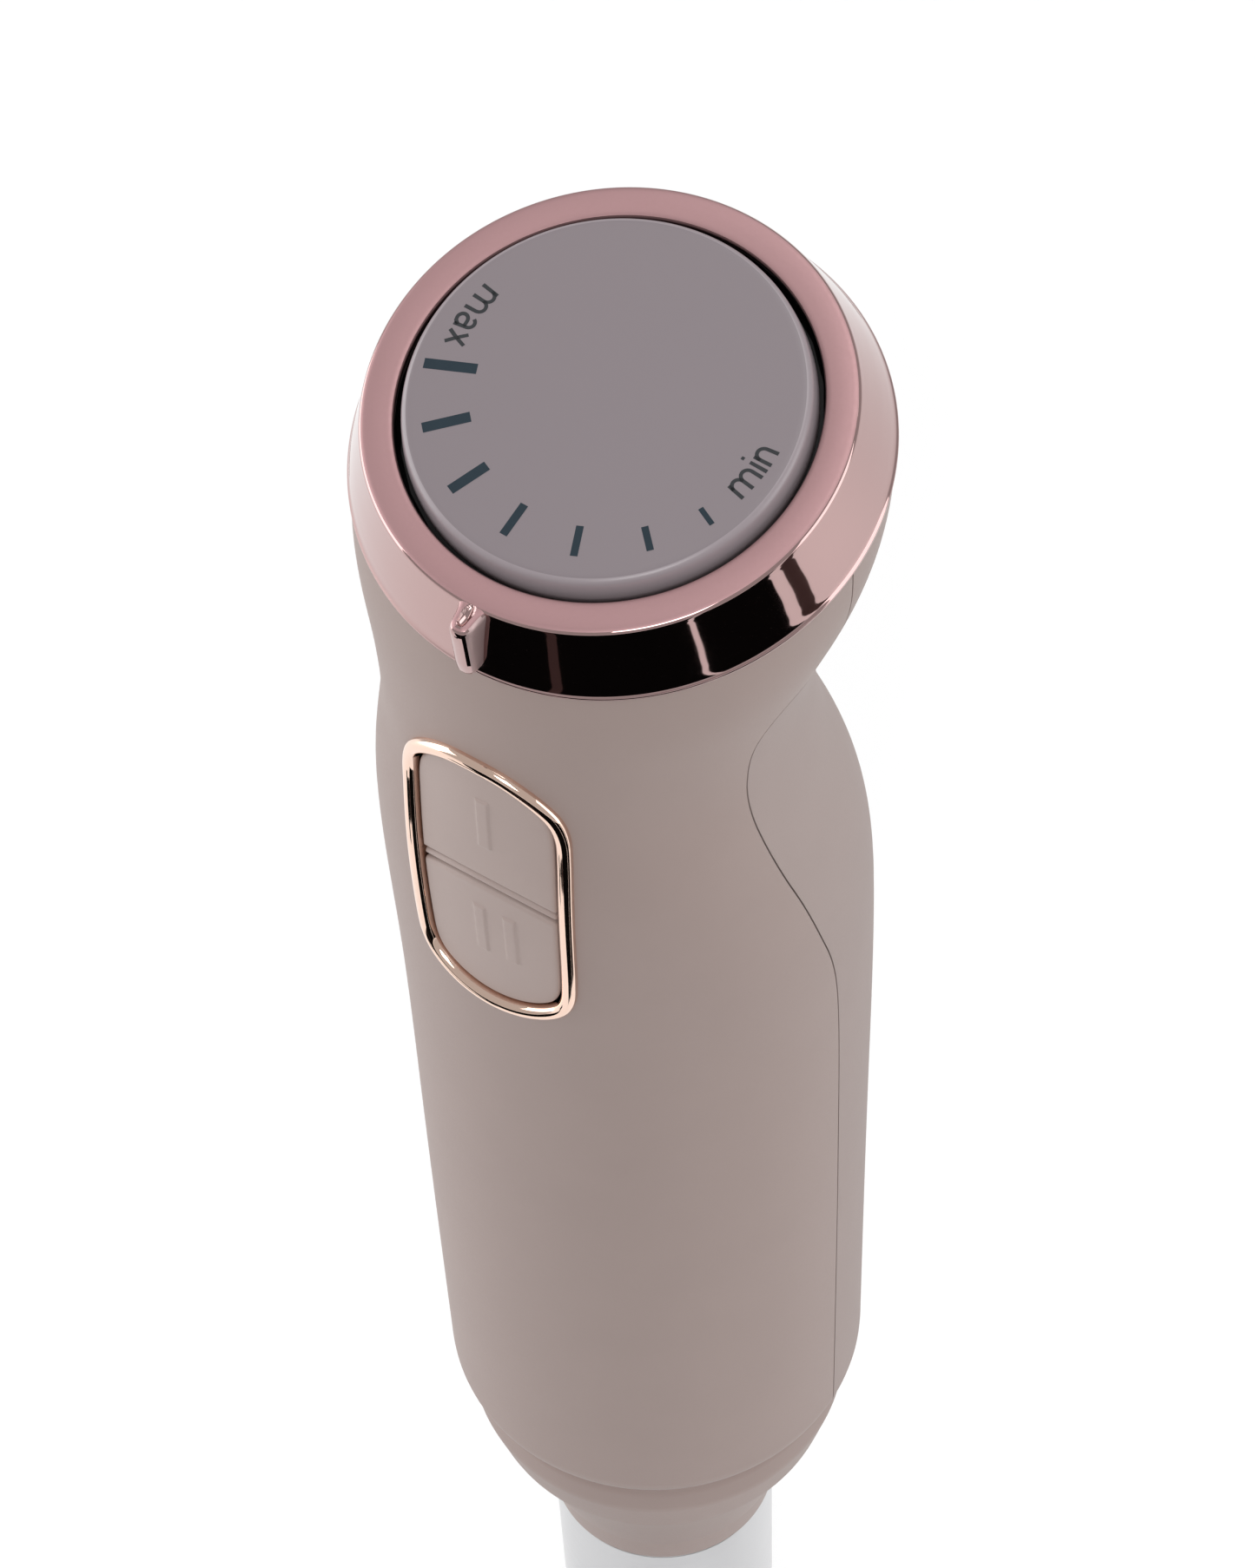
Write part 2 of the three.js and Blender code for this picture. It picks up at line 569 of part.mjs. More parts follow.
// ---------- blending foot ----------
function foot() {
  const bell = turned(
    [
      [BELL_R, 0], [35.4, 8], [32, 18], [25.4, 26.4], [16.6, 33.2],
      [FOOT_TUBE_R, 40], [FOOT_TUBE_R - 1.8, 40], [FOOT_TUBE_R - 1.8, 37], [6.3, 37], [6.3, 20], [8.8, 20],
      [8.8, 32.4], [14.8, 31.2], [23.8, 24.8], [30.2, 16.9], [33.5, 7.6], [34, 0],
    ],
    40,
  );
  // Four arches in the rim let the food flow out.
  const arch = new THREE.Shape();
  arch.moveTo(-11, -5);
  arch.lineTo(-11, 2);
  arch.bezierCurveTo(-11, 11, -6, 14, 0, 14);
  arch.bezierCurveTo(6, 14, 11, 11, 11, 2);
  arch.lineTo(11, -5);
  const g = new THREE.ExtrudeGeometry(arch, { depth: 30, bevelEnabled: false, curveSegments: 4 });
  g.rotateX(Math.PI / 2);
  g.translate(0, -15, 0);
  const cutter = solidOf(g);
  let guard = bell;
  for (const a of [45, 135, 225, 315]) guard = guard.subtract(spun(cutter, a));
  add("bell_guard", guard, "steel");

  add("foot_tube", turned(
    [[FOOT_TUBE_R, 40.3], [15.6, 152], [14.2, 152], [12.7, 40.3]],
    32,
  ), "steel");

  let collar = turned(
    [
      [15.8, 152.3], [16.8, 158], [20, 167], [24.2, 176.5], [26.2, 184], [25.6, 187.4], [23.2, 189.4],
      [15.9, 189.4], [15.9, 204.6], [13.6, 204.6], [13.6, 152.3],
    ],
    32,
  );
  for (const a of [0, 180]) collar = collar.add(spun(box(14.6, 17.2, -2.7, 2.7, 193, 203.4), a));
  add("foot_collar", collar, "taupe");

  add("foot_bush_lower", tube(FOOT_SHAFT_R + 0.1, 6, 24, 36.6, 16), "brass");
  add("shaft_seal", tube(FOOT_SHAFT_R + 0.1, 6, 20.4, 23.7, 16), "rubber");
  let bush = tube(FOOT_SHAFT_R + 0.1, 13.3, 183, 187, 20).add(tube(FOOT_SHAFT_R + 0.1, 6, 178, 187, 16));
  add("foot_bush_upper", bush, "nylon");
}

function bladeShaft() {
  add("foot_drive_shaft", turned([[0, 14], [FOOT_SHAFT_R, 14], [FOOT_SHAFT_R, 195.6], [0, 195.6]], 16), "steel");
  const cup = disc(8, 189.5, 203.2, 20);
  const bore = disc(FOOT_SHAFT_R + GAP, 180, 195.9, 16);
  const recess = box(-5.8, 5.8, -1.9, 1.9, 198.4, 210).add(box(-1.9, 1.9, -5.8, 5.8, 198.4, 210));
  add("driven_coupling", cup.subtract(bore).subtract(recess).subtract(disc(4.6, 203, 205, 16)), "nylon");
  const hub = turned([[0, 9], [5.2, 9], [5.2, 16], [4.2, 19.6], [0, 19.6]], 20);
  const hubCut = disc(FOOT_SHAFT_R + GAP, 13.7, 25, 16).add(disc(2.3, 5, 13, 16));
  add("blade_hub", hub.subtract(hubCut), "steel");
  // Two-winged blade with one tip bent up and the other down.
  const side = new THREE.Shape();
  side.moveTo(-25, 4.6);
  side.lineTo(-13, 7.4);
  side.lineTo(13, 7.4);
  side.lineTo(25, 11.6);
  side.lineTo(25, 12.8);
  side.lineTo(12.6, 8.6);
  side.lineTo(-13.2, 8.6);
  side.lineTo(-25, 5.8);
  const g = new THREE.ExtrudeGeometry(side, { depth: 20, bevelEnabled: false });
  g.rotateX(Math.PI / 2);
  g.translate(0, 10, 0);
  const plan = raised([[-24.6, -1], [-20, 4], [-6, 6], [5, 6.2], [14, 4.8], [24.6, 1], [20, -4], [6, -6], [-5, -6.2], [-14, -4.8]], 0, 20);
  add("blade", solidOf(g).intersect(plan).subtract(disc(2.3, 0, 20, 16)), "steel");
  add("blade_screw", disc(2, 5.6, 12.4, 16).add(disc(4, 5.4, 7.1, 6)), "steel");
}

shells();
buttons();
dial();
electronics();
cordGland();
motor();
rotor();
endCap();
foot();
bladeShaft();

export default group;
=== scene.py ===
"""Looks of the hand blender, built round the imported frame. Metres, Z up, front towards -Y."""

import json
import math

import bmesh
import bpy
import numpy as np
from mathutils import Matrix, Vector
from mathutils.geometry import delaunay_2d_cdt


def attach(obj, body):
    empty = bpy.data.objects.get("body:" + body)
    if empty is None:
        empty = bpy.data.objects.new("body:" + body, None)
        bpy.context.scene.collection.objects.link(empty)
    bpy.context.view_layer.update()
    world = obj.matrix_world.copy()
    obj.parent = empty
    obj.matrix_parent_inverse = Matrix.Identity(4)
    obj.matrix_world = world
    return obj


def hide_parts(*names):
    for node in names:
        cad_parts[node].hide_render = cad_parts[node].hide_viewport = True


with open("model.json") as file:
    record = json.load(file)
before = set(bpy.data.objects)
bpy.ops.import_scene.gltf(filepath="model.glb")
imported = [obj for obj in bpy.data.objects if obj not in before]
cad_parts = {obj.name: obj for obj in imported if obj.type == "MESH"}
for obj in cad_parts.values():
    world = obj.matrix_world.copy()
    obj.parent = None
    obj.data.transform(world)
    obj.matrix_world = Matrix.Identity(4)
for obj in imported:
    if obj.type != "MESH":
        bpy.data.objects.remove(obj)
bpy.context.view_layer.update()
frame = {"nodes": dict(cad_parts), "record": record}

MM = 0.001
DIAL_Z = 396.0
TILT = math.radians(11.9)
PI = math.pi

# Outside of the motor unit: distance below the dial, radius, offset of the section towards +Y,
# and how far its front is flattened behind the buttons.
SECTIONS = np.array([
    [10.8, 32.3, 2.3, 0], [16, 32.1, 1.6, 0], [24, 30.5, -0.3, 0], [30, 28.5, -2.4, 0], [36, 26.9, -4.2, 0],
    [46, 26.25, -5.2, 0.25], [54, 27.1, -5.3, 1.2], [60, 27.9, -4.8, 1.5], [68, 29.1, -3.2, 1.2],
    [80, 30.25, -1.1, 0.65], [100, 30.35, 0.3, 0], [140, 29.6, 0.3, 0], [200.8, 28.45, 0.1, 0],
])
SEAM = np.array([
    [1.5, 215], [1.5, 140], [0.7, 100], [-0.6, 90], [-3.1, 80.6], [-5.5, 71.8], [-7.7, 64.2], [-9.8, 55.4],
    [-10.8, 49.4], [-11.1, 42.1], [-10, 34.5], [-6, 30.5], [0, 31], [10, 36.5], [20, 43.5], [45, 52],
])


# ---------------------------------------------------------------- small tools
def spline(points, n):
    """Points of a centripetal Catmull-Rom curve through the given ones."""
    p = np.asarray(points, float)
    p = np.vstack([2 * p[0] - p[1], p, 2 * p[-1] - p[-2]])
    out = []
    for i in range(1, len(p) - 2):
        a, b, c, d = p[i - 1:i + 3]
        t = np.cumsum([0] + [max(np.linalg.norm(v), 1e-9) ** 0.5 for v in (b - a, c - b, d - c)])
        for u in np.linspace(t[1], t[2], n, endpoint=False):
            a1 = (t[1] - u) / (t[1] - t[0]) * a + (u - t[0]) / (t[1] - t[0]) * b
            a2 = (t[2] - u) / (t[2] - t[1]) * b + (u - t[1]) / (t[2] - t[1]) * c
            a3 = (t[3] - u) / (t[3] - t[2]) * c + (u - t[2]) / (t[3] - t[2]) * d
            b1 = (t[2] - u) / (t[2] - t[0]) * a1 + (u - t[0]) / (t[2] - t[0]) * a2
            b2 = (t[3] - u) / (t[3] - t[1]) * a2 + (u - t[1]) / (t[3] - t[1]) * a3
            out.append((t[2] - u) / (t[2] - t[1]) * b1 + (u - t[1]) / (t[2] - t[1]) * b2)
    out.append(p[-2])
    return np.array(out)


def new_object(name, vertices, faces, smooth=True):
    """Mesh object from points in mm."""
    mesh = bpy.data.meshes.new(name)
    points = [tuple(v) for v in np.asarray(vertices) * MM]
    mesh.from_pydata(points, [], [tuple(int(i) for i in f) for f in faces])
    mesh.validate()
    mesh.update()
    obj = bpy.data.objects.new(name, mesh)
    bpy.context.scene.collection.objects.link(obj)
    if smooth:
        mesh.polygons.foreach_set("use_smooth", [True] * len(mesh.polygons))
    return obj


def grid_faces(rows, columns):
    """Faces of a grid whose rows close on themselves."""
    faces = []
    for j in range(rows - 1):
        low, high = j * columns, (j + 1) * columns
        for i in range(columns):
            k = (i + 1) % columns
            faces.append((low + i, high + i, high + k, low + k))
    return faces


def to_head(points):
    """From the dial's own frame (z along its axis, 0 at the disc's face) to the row frame, in mm."""
    p = np.asarray(points, float)
    c, s = math.cos(TILT), math.sin(TILT)
    return np.stack([p[..., 0], p[..., 1] * c - p[..., 2] * s, p[..., 1] * s + p[..., 2] * c + DIAL_Z], -1)


def fix_normals(obj, weld=0.0):
    """Turns all faces outwards, after joining points that lie closer together than weld, in metres."""
    b = bmesh.new()
    b.from_mesh(obj.data)
    if weld:
        bmesh.ops.remove_doubles(b, verts=b.verts, dist=weld)
    bmesh.ops.recalc_face_normals(b, faces=b.faces)
    b.to_mesh(obj.data)
    b.free()


def around(count):
    """Unit vectors in even steps round a full turn."""
    angle = np.linspace(0, 2 * PI, count, endpoint=False)
    return np.stack([np.cos(angle), np.sin(angle)], -1)


def turned(profile, segments):
    """Points and side faces of a turned profile of (radius, z)."""
    points = np.array([[(r * x, r * y, z) for x, y in around(segments)] for r, z in profile]).reshape(-1, 3)
    return points, grid_faces(len(profile), segments)


def closing_faces(rows, columns):
    """Faces from the last row of a grid back to its first."""
    base = (rows - 1) * columns
    return [(base + i, i, (i + 1) % columns, base + (i + 1) % columns) for i in range(columns)]


def lathe(name, profile, segments=128, head=False, sharp=35):
    """Turned piece from a profile of (radius, z) that closes on itself or ends on the axis."""
    points, faces = turned(profile, segments)
    if profile[0][0] > 1e-9 and profile[-1][0] > 1e-9:
        faces += closing_faces(len(profile), segments)
    obj = new_object(name, to_head(points) if head else points, faces)
    fix_normals(obj, 1e-7)
    obj.data.set_sharp_from_angle(angle=math.radians(sharp))
    return obj


def rounded(profile, radius, steps=4):
    """The profile with its corners rounded; radius is one number or one for each point."""
    p = np.asarray(profile, float)
    n = len(p)
    r = np.full(n, radius, float) if np.isscalar(radius) else np.asarray(radius, float)
    out = []
    for i in range(n):
        a, b, c = p[i - 1], p[i], p[(i + 1) % n]
        if r[i] <= 0 or (i in (0, n - 1) and (p[0][0] < 1e-9 or p[-1][0] < 1e-9)):
            out.append(b)
            continue
        u, v = a - b, c - b
        lu, lv = np.linalg.norm(u), np.linalg.norm(v)
        u, v = u / lu, v / lv
        half = math.acos(max(-1, min(1, float(u @ v)))) / 2
        if half > 1.5:
            out.append(b)
            continue
        cut = min(r[i] / math.tan(half), lu * 0.45, lv * 0.45)
        out += [b + u * cut * (1 - t) ** 2 + v * cut * t ** 2 for t in np.linspace(0, 1, steps + 1)]
    return np.array(out)


def apply_modifiers(obj):
    """Puts what the object's modifiers make of its mesh in the mesh's place."""
    depsgraph = bpy.context.evaluated_depsgraph_get()
    mesh = bpy.data.meshes.new_from_object(obj.evaluated_get(depsgraph))
    obj.modifiers.clear()
    old = obj.data
    obj.data = mesh
    mesh.name = obj.name
    bpy.data.meshes.remove(old)


def boolean(obj, cutter, operation="DIFFERENCE", remove=True):
    """Cuts the cutter out of the object, or keeps only what both share."""
    m = obj.modifiers.new("cut", "BOOLEAN")
    m.object = cutter
    m.operation = operation
    m.solver = "EXACT"
    apply_modifiers(obj)
    if remove:
        bpy.data.objects.remove(cutter, do_unlink=True)


def prism(name, near, far):
    """Bar between two outlines with as many points each."""
    n = len(near)
    faces = [tuple(range(n)), tuple(range(n, 2 * n))[::-1]]
    faces += [(i, i + n, (i + 1) % n + n, (i + 1) % n) for i in range(n)]
    obj = new_object(name, list(near) + list(far), faces, smooth=False)
    fix_normals(obj)
    return obj


def box_object(name, low, high):
    """Box from two opposite corners."""
    (x0, y0, z0), (x1, y1, z1) = low, high
    v = [(x, y, z) for z in (z0, z1) for y in (y0, y1) for x in (x0, x1)]
    f = [(0, 2, 3, 1), (4, 5, 7, 6), (0, 1, 5, 4), (2, 6, 7, 3), (0, 4, 6, 2), (1, 3, 7, 5)]
    return new_object(name, v, f, smooth=False)


# ---------------------------------------------------------------- materials
def material(name, color, rough=0.5, metal=0.0, noise=0.04, scale=60, bump=0.0, bump_scale=900, rough_noise=0.1,
             specular=0.5, build=None):
    """Procedural finish: a base colour varied by noise, uneven roughness and a fine relief."""
    m = bpy.data.materials.new(name)
    m.use_nodes = True
    n = m.node_tree.nodes
    link = m.node_tree.links.new
    bsdf = n["Principled BSDF"]
    coord = n.new("ShaderNodeTexCoord")
    big = n.new("ShaderNodeTexNoise")
    big.inputs["Scale"].default_value = scale
    big.inputs["Detail"].default_value = 4
    link(coord.outputs["Object"], big.inputs["Vector"])
    tint = n.new("ShaderNodeMix")
    tint.data_type = "RGBA"
    c = np.array(color[:3])
    tint.inputs[6].default_value = (*np.clip(c * (1 - noise), 0, 1), 1)
    tint.inputs[7].default_value = (*np.clip(c * (1 + noise), 0, 1), 1)
    link(big.outputs["Fac"], tint.inputs[0])
    link(tint.outputs[2], bsdf.inputs["Base Color"])
    bsdf.inputs["Metallic"].default_value = metal
    bsdf.inputs["Specular IOR Level"].default_value = specular
    fine = n.new("ShaderNodeTexNoise")
    fine.inputs["Scale"].default_value = bump_scale
    fine.inputs["Detail"].default_value = 3
    link(coord.outputs["Object"], fine.inputs["Vector"])
    span = n.new("ShaderNodeMapRange")
    span.inputs["To Min"].default_value = max(rough * (1 - rough_noise), 0.0)
    span.inputs["To Max"].default_value = min(rough * (1 + rough_noise), 1.0)
    link(fine.outputs["Fac"], span.inputs["Value"])
    link(span.outputs["Result"], bsdf.inputs["Roughness"])
    if bump > 0:
        relief = n.new("ShaderNodeBump")
        relief.inputs["Strength"].default_value = 1.0
        relief.inputs["Distance"].default_value = bump
        link(fine.outputs["Fac"], relief.inputs["Height"])
        link(relief.outputs["Normal"], bsdf.inputs["Normal"])
    if build:
        build(n, link, bsdf, coord)
    return m


def brushed(axis_scale):
    """Adds fine lines across the piece, as left by brushing or turning."""
    def build(n, link, bsdf, coord):
        mapping = n.new("ShaderNodeMapping")
        mapping.inputs["Scale"].default_value = axis_scale
        link(coord.outputs["Object"], mapping.inputs["Vector"])
        lines = n.new("ShaderNodeTexNoise")
        lines.inputs["Scale"].default_value = 1.0
        lines.inputs["Detail"].default_value = 5
        link(mapping.outputs["Vector"], lines.inputs["Vector"])
        span = n.new("ShaderNodeMapRange")
        span.inputs["To Min"].default_value = 0.22
        span.inputs["To Max"].default_value = 0.42
        link(lines.outputs["Fac"], span.inputs["Value"])
        link(span.outputs["Result"], bsdf.inputs["Roughness"])
        relief = n.new("ShaderNodeBump")
        relief.inputs["Distance"].default_value = 0.00002
        link(lines.outputs["Fac"], relief.inputs["Height"])
        link(relief.outputs["Normal"], bsdf.inputs["Normal"])
    return build


MAT = {
    "shell": material("soft_touch_taupe", (0.312, 0.242, 0.222), 0.52, noise=0.03, scale=90, bump=0.000006,
                      bump_scale=2600, specular=0.35),
    "grip": material("soft_touch_grip", (0.325, 0.262, 0.245), 0.6, noise=0.03, scale=90, bump=0.00001,
                     bump_scale=3000, specular=0.3),
    "button": material("button_taupe", (0.373, 0.295, 0.272), 0.5, noise=0.03, scale=120, bump=0.000006,
                       bump_scale=2600, specular=0.35),
    "ring": material("rose_gold_plating", (0.48, 0.325, 0.315), 0.045, metal=1.0, noise=0.015, scale=40,
                     rough_noise=0.25, bump_scale=400),
    "ring_top": material("rose_gold_satin", (0.41, 0.245, 0.25), 0.5, metal=0.8, noise=0.03, scale=60,
                         rough_noise=0.12, bump=0.000003, bump_scale=1800),
    # painted highlight: a lighter satin copy of the ring's colour for the pointer's right side, standing in for
    # the light that falls on that side
    "ring_side_painted_light": material("rose_gold_side_painted_light", (0.62, 0.46, 0.45), 0.42, metal=0.8, noise=0.03, scale=60,
                          rough_noise=0.12, bump=0.000003, bump_scale=1800),
    "bezel": material("copper_plating", (0.90, 0.66, 0.54), 0.05, metal=1.0, noise=0.015, scale=60,
                      rough_noise=0.25, bump_scale=400),
    "disc": material("dial_face", (0.198, 0.168, 0.18), 0.42, noise=0.012, scale=50, bump=0.000002,
                     bump_scale=2500, specular=0.4),
    # painted light: a lighter copy of the dial face's colour for its rounded rim and wall, lifting the shade
    # they lie in
    "disc_rim_painted_light": material("dial_rim_painted_light", (0.27, 0.232, 0.247), 0.3, noise=0.012, scale=50, bump=0.000002,
                         bump_scale=2500, specular=0.5),
    "mark": material("scale_print", (0.014, 0.026, 0.036), 0.7, noise=0.15, scale=300, bump=0.000002,
                     bump_scale=4000, specular=0.25),
    "text": material("letter_print", (0.028, 0.03, 0.033), 0.65, noise=0.15, scale=300, bump=0.000002,
                     bump_scale=4000, specular=0.25),
    "dark": material("dark_gap", (0.006, 0.005, 0.005), 0.7, noise=0.2, scale=100, bump=0.000004),
    "black": material("black_plastic", (0.02, 0.02, 0.022), 0.45, noise=0.1, scale=80, bump=0.000008,
                      bump_scale=1500),
    "rubber": material("black_rubber", (0.018, 0.018, 0.019), 0.75, noise=0.12, scale=120, bump=0.000012,
                       bump_scale=1400),
    "steel": material("polished_steel", (0.62, 0.63, 0.65), 0.18, metal=1.0, noise=0.04, scale=80,
                      bump=0.000002, bump_scale=1200),
    "foot_steel": material("brushed_foot_steel", (0.60, 0.60, 0.61), 0.3, metal=1.0, noise=0.03,
                           build=brushed((60, 60, 4000))),
    "blade": material("ground_blade_steel", (0.66, 0.66, 0.68), 0.25, metal=1.0, noise=0.03,
                      build=brushed((2500, 120, 120))),
    "lamination": material("laminated_steel", (0.2, 0.21, 0.22), 0.45, metal=0.8, noise=0.1,
                           build=brushed((120, 120, 2500))),
    "wire": material("enamelled_wire", (0.42, 0.14, 0.05), 0.3, metal=0.6, noise=0.2, scale=500, bump=0.00005,
                     bump_scale=700),
    "brass": material("brass", (0.66, 0.45, 0.16), 0.3, metal=1.0, noise=0.08, scale=150, bump=0.000003),
    "carbon": material("carbon", (0.03, 0.03, 0.032), 0.7, noise=0.2, scale=400, bump=0.00001, bump_scale=1800),
    "board": material("circuit_board", (0.02, 0.13, 0.055), 0.35, noise=0.25, scale=350, bump=0.00001,
                      bump_scale=700),
    "nylon": material("natural_nylon", (0.72, 0.69, 0.6), 0.5, noise=0.04, scale=100, bump=0.000005),
}

SLOT_MATERIAL = {
    "shell_taupe": "shell", "soft_grip": "grip", "ring_rose": "ring", "bezel_copper": "bezel",
    "dial_face": "disc", "black_plastic": "black", "rubber": "rubber", "steel": "steel",
    "foot_steel": "foot_steel", "blade_steel": "blade", "lamination": "lamination", "copper_wire": "wire",
    "brass": "brass", "carbon": "carbon", "circuit_board": "board", "nylon": "nylon",
}
slot_of = {s["node"]: s["material_slot"] for s in frame["record"]["subparts"]}
for name, node in frame["nodes"].items():
    node.data.materials.clear()
    node.data.materials.append(MAT[SLOT_MATERIAL[slot_of[name]]])


def dress(obj, mat, body, *nodes, slot=None):
    """Gives a piece its finish and its body, and lets it stand for CAD nodes."""
    obj.data.materials.clear()
    obj.data.materials.append(MAT[mat])
    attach(obj, body)
    if nodes:
        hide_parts(*nodes)


# ---------------------------------------------------------------- the unit's skin
knots = np.array([s[0] for s in SECTIONS])


def smooth_table(column):
    """Natural cubic through the section table, as a function of the distance below the dial."""
    x, y = knots, SECTIONS[:, column]
    n = len(x)
    h = np.diff(x)
    a = np.zeros((n, n))
    b = np.zeros(n)
    a[0, 0] = a[-1, -1] = 1
    for i in range(1, n - 1):
        a[i, i - 1:i + 2] = [h[i - 1], 2 * (h[i - 1] + h[i]), h[i]]
        b[i] = 6 * ((y[i + 1] - y[i]) / h[i] - (y[i] - y[i - 1]) / h[i - 1])
    m = np.linalg.solve(a, b)

    def value(s):
        s = np.clip(np.asarray(s, float), x[0], x[-1])
        i = np.clip(np.searchsorted(x, s) - 1, 0, n - 2)
        t0, t1 = x[i + 1] - s, s - x[i]
        return (m[i] * t0 ** 3 + m[i + 1] * t1 ** 3) / (6 * h[i]) + (y[i] / h[i] - m[i] * h[i] / 6) * t0 + (
            y[i + 1] / h[i] - m[i + 1] * h[i] / 6) * t1
    return value


radius_at = smooth_table(1)
offset_at = smooth_table(2)
flat_at = smooth_table(3)
HEAD_TOP = 10.8
END = 206.3
FILLET = 5.5
FLOOR_TOP = 203.6
WALL = 2.4
SEAM_GAP = 0.22
HEAD_PARTING = 1.8


def tilt_at(s):
    """Lean of the section towards the front, which dies away between the head and the waist."""
    return TILT * np.clip((50 - np.asarray(s, float)) / 39.2, 0, 1)


def skin(s, a, inset=0.0):
    """Point of the outer skin at a distance below the dial and an angle round the axis, in mm."""
    s, a = np.asarray(s, float), np.asarray(a, float)
    r = radius_at(s)
    level = np.minimum(s, END)
    below = np.clip(level - (END - FILLET), 0, FILLET)
    r = r - (FILLET - np.sqrt(np.maximum(FILLET ** 2 - below ** 2, 0)))
    away = (a % (2 * PI) - 1.5 * PI) / (PI / 3)
    r = r - inset - flat_at(s) * np.clip(1 - away ** 2, 0, 1) ** 2
    t = tilt_at(s)
    return np.stack([r * np.cos(a), offset_at(s) + r * np.sin(a) * np.cos(t),
                     DIAL_Z - level + r * np.sin(a) * np.sin(t)], -1)


def skin_normal(s, a):
    """Outward unit normal of the skin, from differences over a small step."""
    along, turn = 0.05, 0.002
    du = skin(s, a + turn) - skin(s, a - turn)
    dv = skin(s + along, a) - skin(s - along, a)
    n = np.cross(dv, du)
    n /= np.maximum(np.linalg.norm(n, axis=-1, keepdims=True), 1e-12)
    return n


def front_point(x, z):
    """Skin parameters of the front's point at this x and at this height relative to the dial."""
    x, z = np.asarray(x, float), np.asarray(z, float)
    s, a = -z + 0 * x, 1.5 * PI + np.arcsin(np.clip(x / 30, -1, 1))
    for _ in range(25):
        p = skin(s, a)
        s = s + (p[..., 2] - DIAL_Z - z)
        a = a + (x - p[..., 0]) / 28
    return s, a


def raised_front(x, z, height):
    """Points at a height above the skin's front."""
    s, a = front_point(x, z)
    return skin(s, a) + skin_normal(s, a) * np.asarray(height)[..., None]


def seam_prism(grow, region):
    """Bar through the whole width that holds the grip ("grip") or the back of the head ("head")."""
    line = spline(SEAM, 8)
    d = np.gradient(line, axis=0)
    d /= np.linalg.norm(d, axis=1, keepdims=True)
    line = line + grow * np.stack([d[:, 1], -d[:, 0]], -1)
    if region == "grip":
        outline = np.vstack([line, [[80, 52], [80, 215]]])
    else:
        y = HEAD_PARTING - grow
        outline = np.array([[y, -10], [80, -10], [80, 52], [y, 52]])
    return prism("cut", *[[(x, y, DIAL_Z - s) for y, s in outline] for x in (-50, 50)])


# ---------------------------------------------------------------- outlines on the front
# right half of the bezel's outer edge: distance from the middle, distance below the dial
BEZEL_EDGE = [
    (0, 33), (3.4, 33.4), (6.4, 34.8), (9.2, 37.2), (11, 39.9), (11.85, 43.4), (12, 48), (12, 58), (11.85, 68),
    (11.65, 74.5), (11.3, 78.4), (10.2, 81.2), (8, 83.1), (4.6, 84.5), (0, 85.1),
]


def button_outline(inset, step=0.35):
    """Outline parallel to the bezel's outer edge, in (x, height relative to the dial)."""
    right = [(x, -s) for x, s in BEZEL_EDGE]
    left = [(-x, z) for x, z in right[-2:0:-1]]
    loop = right + left
    line = spline([loop[-1]] + loop + loop[:2], 16)
    closed = relax(resample(line[16:16 + 16 * len(loop)], step), 12)
    along = np.roll(closed, -1, 0) - np.roll(closed, 1, 0)
    along /= np.linalg.norm(along, axis=1, keepdims=True)
    return closed + np.stack([along[:, 1], -along[:, 0]], -1) * inset


def resample(closed, step):
    """Points in even steps along a closed outline."""
    p = np.vstack([closed, closed[:1]])
    d = np.concatenate([[0], np.cumsum(np.linalg.norm(np.diff(p, axis=0), axis=1))])
    n = max(int(round(d[-1] / step)), 8)
    t = np.linspace(0, d[-1], n, endpoint=False)
    return np.stack([np.interp(t, d, p[:, k]) for k in range(2)], -1)


def relax(closed, rounds):
    """Smooths a closed outline a little, to round its corners."""
    p = closed.copy()
    for _ in range(rounds):
        p = 0.5 * p + 0.25 * (np.roll(p, 1, 0) + np.roll(p, -1, 0))
    return p


